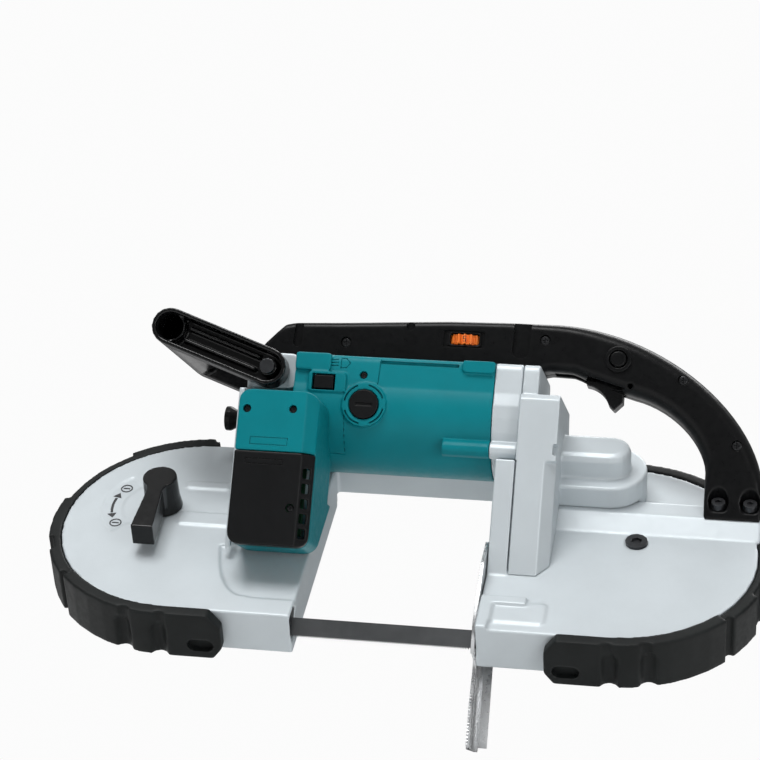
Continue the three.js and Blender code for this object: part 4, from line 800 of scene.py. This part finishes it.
def tension_spring():
    """The spring behind the carriage, with a mesh of its own."""
    piece = Solid().add_node("tension_spring").object("spring_coil")
    finish_piece(shade(piece, 40), "frame", STEEL, "steel", "tension_spring")
    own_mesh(piece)


# ---------------------------------------------------------------- blade and stop plate
def band_point(s):
    """A point on the band's centre line: (x, p, outward angle, twist), s along the loop in mm."""
    run = DRIVE_X - IDLER_X
    bend = math.pi * LOOP_RADIUS
    s %= 2 * (run + bend)
    if s < run:
        x = IDLER_X + s
        share = 1.0
        if abs(x) > GUIDE_END:
            wheel = DRIVE_X if x > 0 else -IDLER_X
            share = (wheel - abs(x)) / (wheel - GUIDE_END)
        twist = -math.pi / 4 * share * share * (3 - 2 * share)
        return x, 0, -math.pi / 2, twist
    s -= run
    if s < bend:
        angle = -math.pi / 2 + s / LOOP_RADIUS
        return DRIVE_X + LOOP_RADIUS * math.cos(angle), LOOP_RADIUS * (1 + math.sin(angle)), angle, 0
    s -= bend
    if s < run:
        return DRIVE_X - s, 2 * LOOP_RADIUS, math.pi / 2, 0
    angle = math.pi / 2 + (s - run) / LOOP_RADIUS
    return IDLER_X + LOOP_RADIUS * math.cos(angle), LOOP_RADIUS * (1 + math.sin(angle)), angle, 0


def toothed_blade():
    """The endless band, with raked teeth along its cutting edge.

    A tooth is given by (share of the pitch, depth of the gullet) at its corners."""
    length = 2 * (DRIVE_X - IDLER_X + math.pi * LOOP_RADIUS)
    pitch = length / round(length / 1.8)
    shape = ((0.0, 1.0), (0.3, 0.95), (0.72, 0.0), (0.98, 0.0))
    half = BLADE_WIDTH / 2
    thin = BLADE_THICK / 2
    mesh = bmesh.new()
    rows = []
    for tooth in range(round(length / pitch)):
        for share, depth in shape:
            x, p, angle, twist = band_point((tooth + share) * pitch)
            row = []
            for along, out in ((-half + depth, -thin), (half, -thin), (half, thin), (-half + depth, thin)):
                radial = out * math.cos(twist) + along * math.sin(twist)
                n = along * math.cos(twist) - out * math.sin(twist)
                place = PLANE @ Vector((x + radial * math.cos(angle), p + radial * math.sin(angle), n))
                row.append(mesh.verts.new(place))
            rows.append(row)
    for row, after in zip(rows, rows[1:] + rows[:1]):
        for i in range(4):
            j = (i + 1) % 4
            mesh.faces.new((row[i], row[j], after[j], after[i]))
    solid = Solid()
    solid.mesh.free()
    solid.mesh = mesh
    bmesh.ops.recalc_face_normals(mesh, faces=mesh.faces)
    piece = shade(solid.object("toothed_blade"), 20)
    return finish_piece(piece, "frame", BLADE_STEEL, "blade_steel", "blade")


def notches(solid, start, end, pitch=2.2, size=0.75):
    """A row of small notches across an edge, from one (y, z) to another."""
    span = Vector(end) - Vector(start)
    count = round(span.length / pitch)
    for step in range(count + 1):
        y, z = Vector(start) + span * step / count
        diamond = [(y - size, z), (y, z - size), (y + size, z), (y, z + size)]
        solid.prism(diamond, 59, 61.5, ALONG)


def work_stop_plate():
    """The stop plate, with a serrated front edge and a pressed groove down its right face."""
    piece = Solid().add_node("stop_plate").object("work_stop_plate")
    cut = Solid().rod(63.2, 20, 1.4, -64, -18, UP, 20)
    notches(cut, (8.5, -62), (8.5, -37))
    notches(cut, (8.9, -35), (13.5, -14))
    notches(cut, (5, 40), (16, 61))
    notches(cut, (17, 62), (33, 77))
    carve(piece, cut, "EXACT")
    bevel = piece.modifiers.new("edges", "BEVEL")
    bevel.width = 0.3 * MM
    bevel.segments = 2
    bevel.angle_limit = math.radians(50)
    settle(piece)
    return finish_piece(shade(piece, 40), "work_stop", STEEL, "steel", "stop_plate")


# ---------------------------------------------------------------- speed dial
def dial_ridges():
    """Fine ridges round the speed dial, and the mark of one of its settings."""
    dial_radius = 12
    solid = Solid().add_node("speed_dial")
    for step in range(60):
        angle = math.radians(6 * step)
        if abs(6 * step - 270) > 14:
            x = DIAL_X + dial_radius * math.cos(angle)
            y = DIAL_Y + dial_radius * math.sin(angle)
            solid.rod(x, y, 0.32, DIAL_Z - 3, DIAL_Z + 3, UP, 8)
    piece = solid.object("dial_ridged")
    finish_piece(shade(piece, 30), "dial", ORANGE, "orange_plastic", "speed_dial")
    digit = Solid()
    front = 67.25
    strokes = (
        (28.2, 30.4, 227.7, 228.1),
        (28.2, 28.6, 226.0, 227.9),
        (28.2, 30.4, 225.9, 226.3),
        (30.0, 30.4, 224.2, 226.1),
        (28.2, 30.4, 224.0, 224.4),
    )
    for x0, x1, z0, z1 in strokes:
        digit.block(x0, x1, z0, z1, front, front + 0.4, BACK)
    return finish_piece(digit.object("dial_digit"), "dial", MARKING, "black_plastic")


# ---------------------------------------------------------------- scene
def camera():
    """The camera looks at the saw from a little to the right and slightly from below."""
    turn = math.radians(10.009)
    rise = math.radians(-10.229)
    roll = math.radians(4.891)
    place = Vector((274.0, -1651.3, -122.3))
    side = Vector((math.cos(turn), math.sin(turn), 0))
    back = Vector((math.sin(turn) * math.cos(rise), -math.cos(turn) * math.cos(rise), math.sin(rise)))
    up = back.cross(side)
    right = side * math.cos(roll) + up * math.sin(roll)
    top = up * math.cos(roll) - side * math.sin(roll)
    data = bpy.data.cameras.new("camera")
    data.lens = 117.03
    data.sensor_width = 36
    view = bpy.data.objects.new("camera", data)
    rotation = Matrix((right, top, back)).transposed()
    view.matrix_world = Matrix.Translation(place * MM) @ rotation.to_4x4()
    bpy.context.scene.collection.objects.link(view)
    bpy.context.scene.camera = view


def floor(low):
    """A pale floor that is only seen from above, with a faint glow of its own for the camera."""
    mesh = bpy.data.meshes.new("floor")
    size = 6
    corners = [(-size, -size, low), (size, -size, low), (size, size, low), (-size, size, low)]
    mesh.from_pydata(corners, [], [(0, 1, 2, 3)])
    plane = bpy.data.objects.new("floor", mesh)
    bpy.context.scene.collection.objects.link(plane)
    material = bpy.data.materials.new("pale_floor")
    material.use_nodes = True
    tree = material.node_tree
    shader = tree.nodes["Principled BSDF"]
    shader.inputs["Base Color"].default_value = (0.82, 0.82, 0.82, 1)
    shader.inputs["Roughness"].default_value = 0.7
    shader.inputs["Emission Color"].default_value = (1, 1, 1, 1)
    glow = tree.nodes.new("ShaderNodeMath")
    glow.operation = "MULTIPLY"
    glow.inputs[1].default_value = 0.4
    tree.links.new(tree.nodes.new("ShaderNodeLightPath").outputs["Is Camera Ray"], glow.inputs[0])
    tree.links.new(glow.outputs[0], shader.inputs["Emission Strength"])
    clear = tree.nodes.new("ShaderNodeBsdfTransparent")
    mix = tree.nodes.new("ShaderNodeMixShader")
    side = tree.nodes.new("ShaderNodeNewGeometry")
    tree.links.new(side.outputs["Backfacing"], mix.inputs["Fac"])
    tree.links.new(shader.outputs["BSDF"], mix.inputs[1])
    tree.links.new(clear.outputs["BSDF"], mix.inputs[2])
    tree.links.new(mix.outputs["Shader"], tree.nodes["Material Output"].inputs["Surface"])
    mesh.materials.append(material)


def softbox(name, place, target, size, power):
    data = bpy.data.lights.new(name, "AREA")
    data.shape = "RECTANGLE"
    data.size, data.size_y = size
    data.energy = power
    lamp = bpy.data.objects.new(name, data)
    lamp.location = place
    lamp.rotation_euler = (Vector(target) - Vector(place)).to_track_quat("-Z", "Y").to_euler()
    bpy.context.scene.collection.objects.link(lamp)


def studio():
    """A near-white surround for the camera, and a softer sky with a bright top for the object."""
    world = bpy.data.worlds.new("studio")
    bpy.context.scene.world = world
    world.use_nodes = True
    tree = world.node_tree
    tree.nodes.clear()
    output = tree.nodes.new("ShaderNodeOutputWorld")
    seen = new_node(tree, "ShaderNodeBackground", Color=(0.97, 0.97, 0.97, 1), Strength=1.0)
    lit = new_node(tree, "ShaderNodeBackground", Strength=0.5)
    ramp = tree.nodes.new("ShaderNodeValToRGB")
    ramp.color_ramp.elements[0].position = 0.3
    ramp.color_ramp.elements[0].color = (0.10, 0.105, 0.11, 1)
    ramp.color_ramp.elements[1].color = (1.0, 1.0, 1.0, 1)
    coordinates = tree.nodes.new("ShaderNodeTexCoord")
    split = tree.nodes.new("ShaderNodeSeparateXYZ")
    height = tree.nodes.new("ShaderNodeMapRange")
    height.inputs["From Min"].default_value = -0.6
    height.inputs["From Max"].default_value = 0.9
    tree.links.new(coordinates.outputs["Generated"], split.inputs["Vector"])
    tree.links.new(split.outputs["Z"], height.inputs["Value"])
    tree.links.new(height.outputs["Result"], ramp.inputs["Fac"])
    tree.links.new(ramp.outputs["Color"], lit.inputs["Color"])
    path = tree.nodes.new("ShaderNodeLightPath")
    mix = tree.nodes.new("ShaderNodeMixShader")
    tree.links.new(path.outputs["Is Camera Ray"], mix.inputs["Fac"])
    tree.links.new(lit.outputs["Background"], mix.inputs[1])
    tree.links.new(seen.outputs["Background"], mix.inputs[2])
    tree.links.new(mix.outputs["Shader"], output.inputs["Surface"])
    bpy.context.scene.view_settings.view_transform = "Standard"
    centre = (0, 0.08, 0.09)
    softbox("key", (-0.35, -0.95, 1.7), centre, (1.2, 0.8), 31)
    softbox("fill", (1.4, -1.5, 0.1), centre, (0.6, 0.9), 12)
    softbox("back_light", (0.3, 1.0, 1.5), centre, (1.4, 0.6), 16)


dress_cad_nodes()
frame_casting()
scale_marks()
gear_castings()
motor_casing()
covers()
handle_front()
handle_back()
lock_ring()
rubber_parts()
small_parts()
tension_spring()
toothed_blade()
work_stop_plate()
dial_ridges()
cross_screws(HEADS, "case_screws", BLACK_STEEL)
camera()
studio()
floor(cad_box[0][2] - 0.0005)
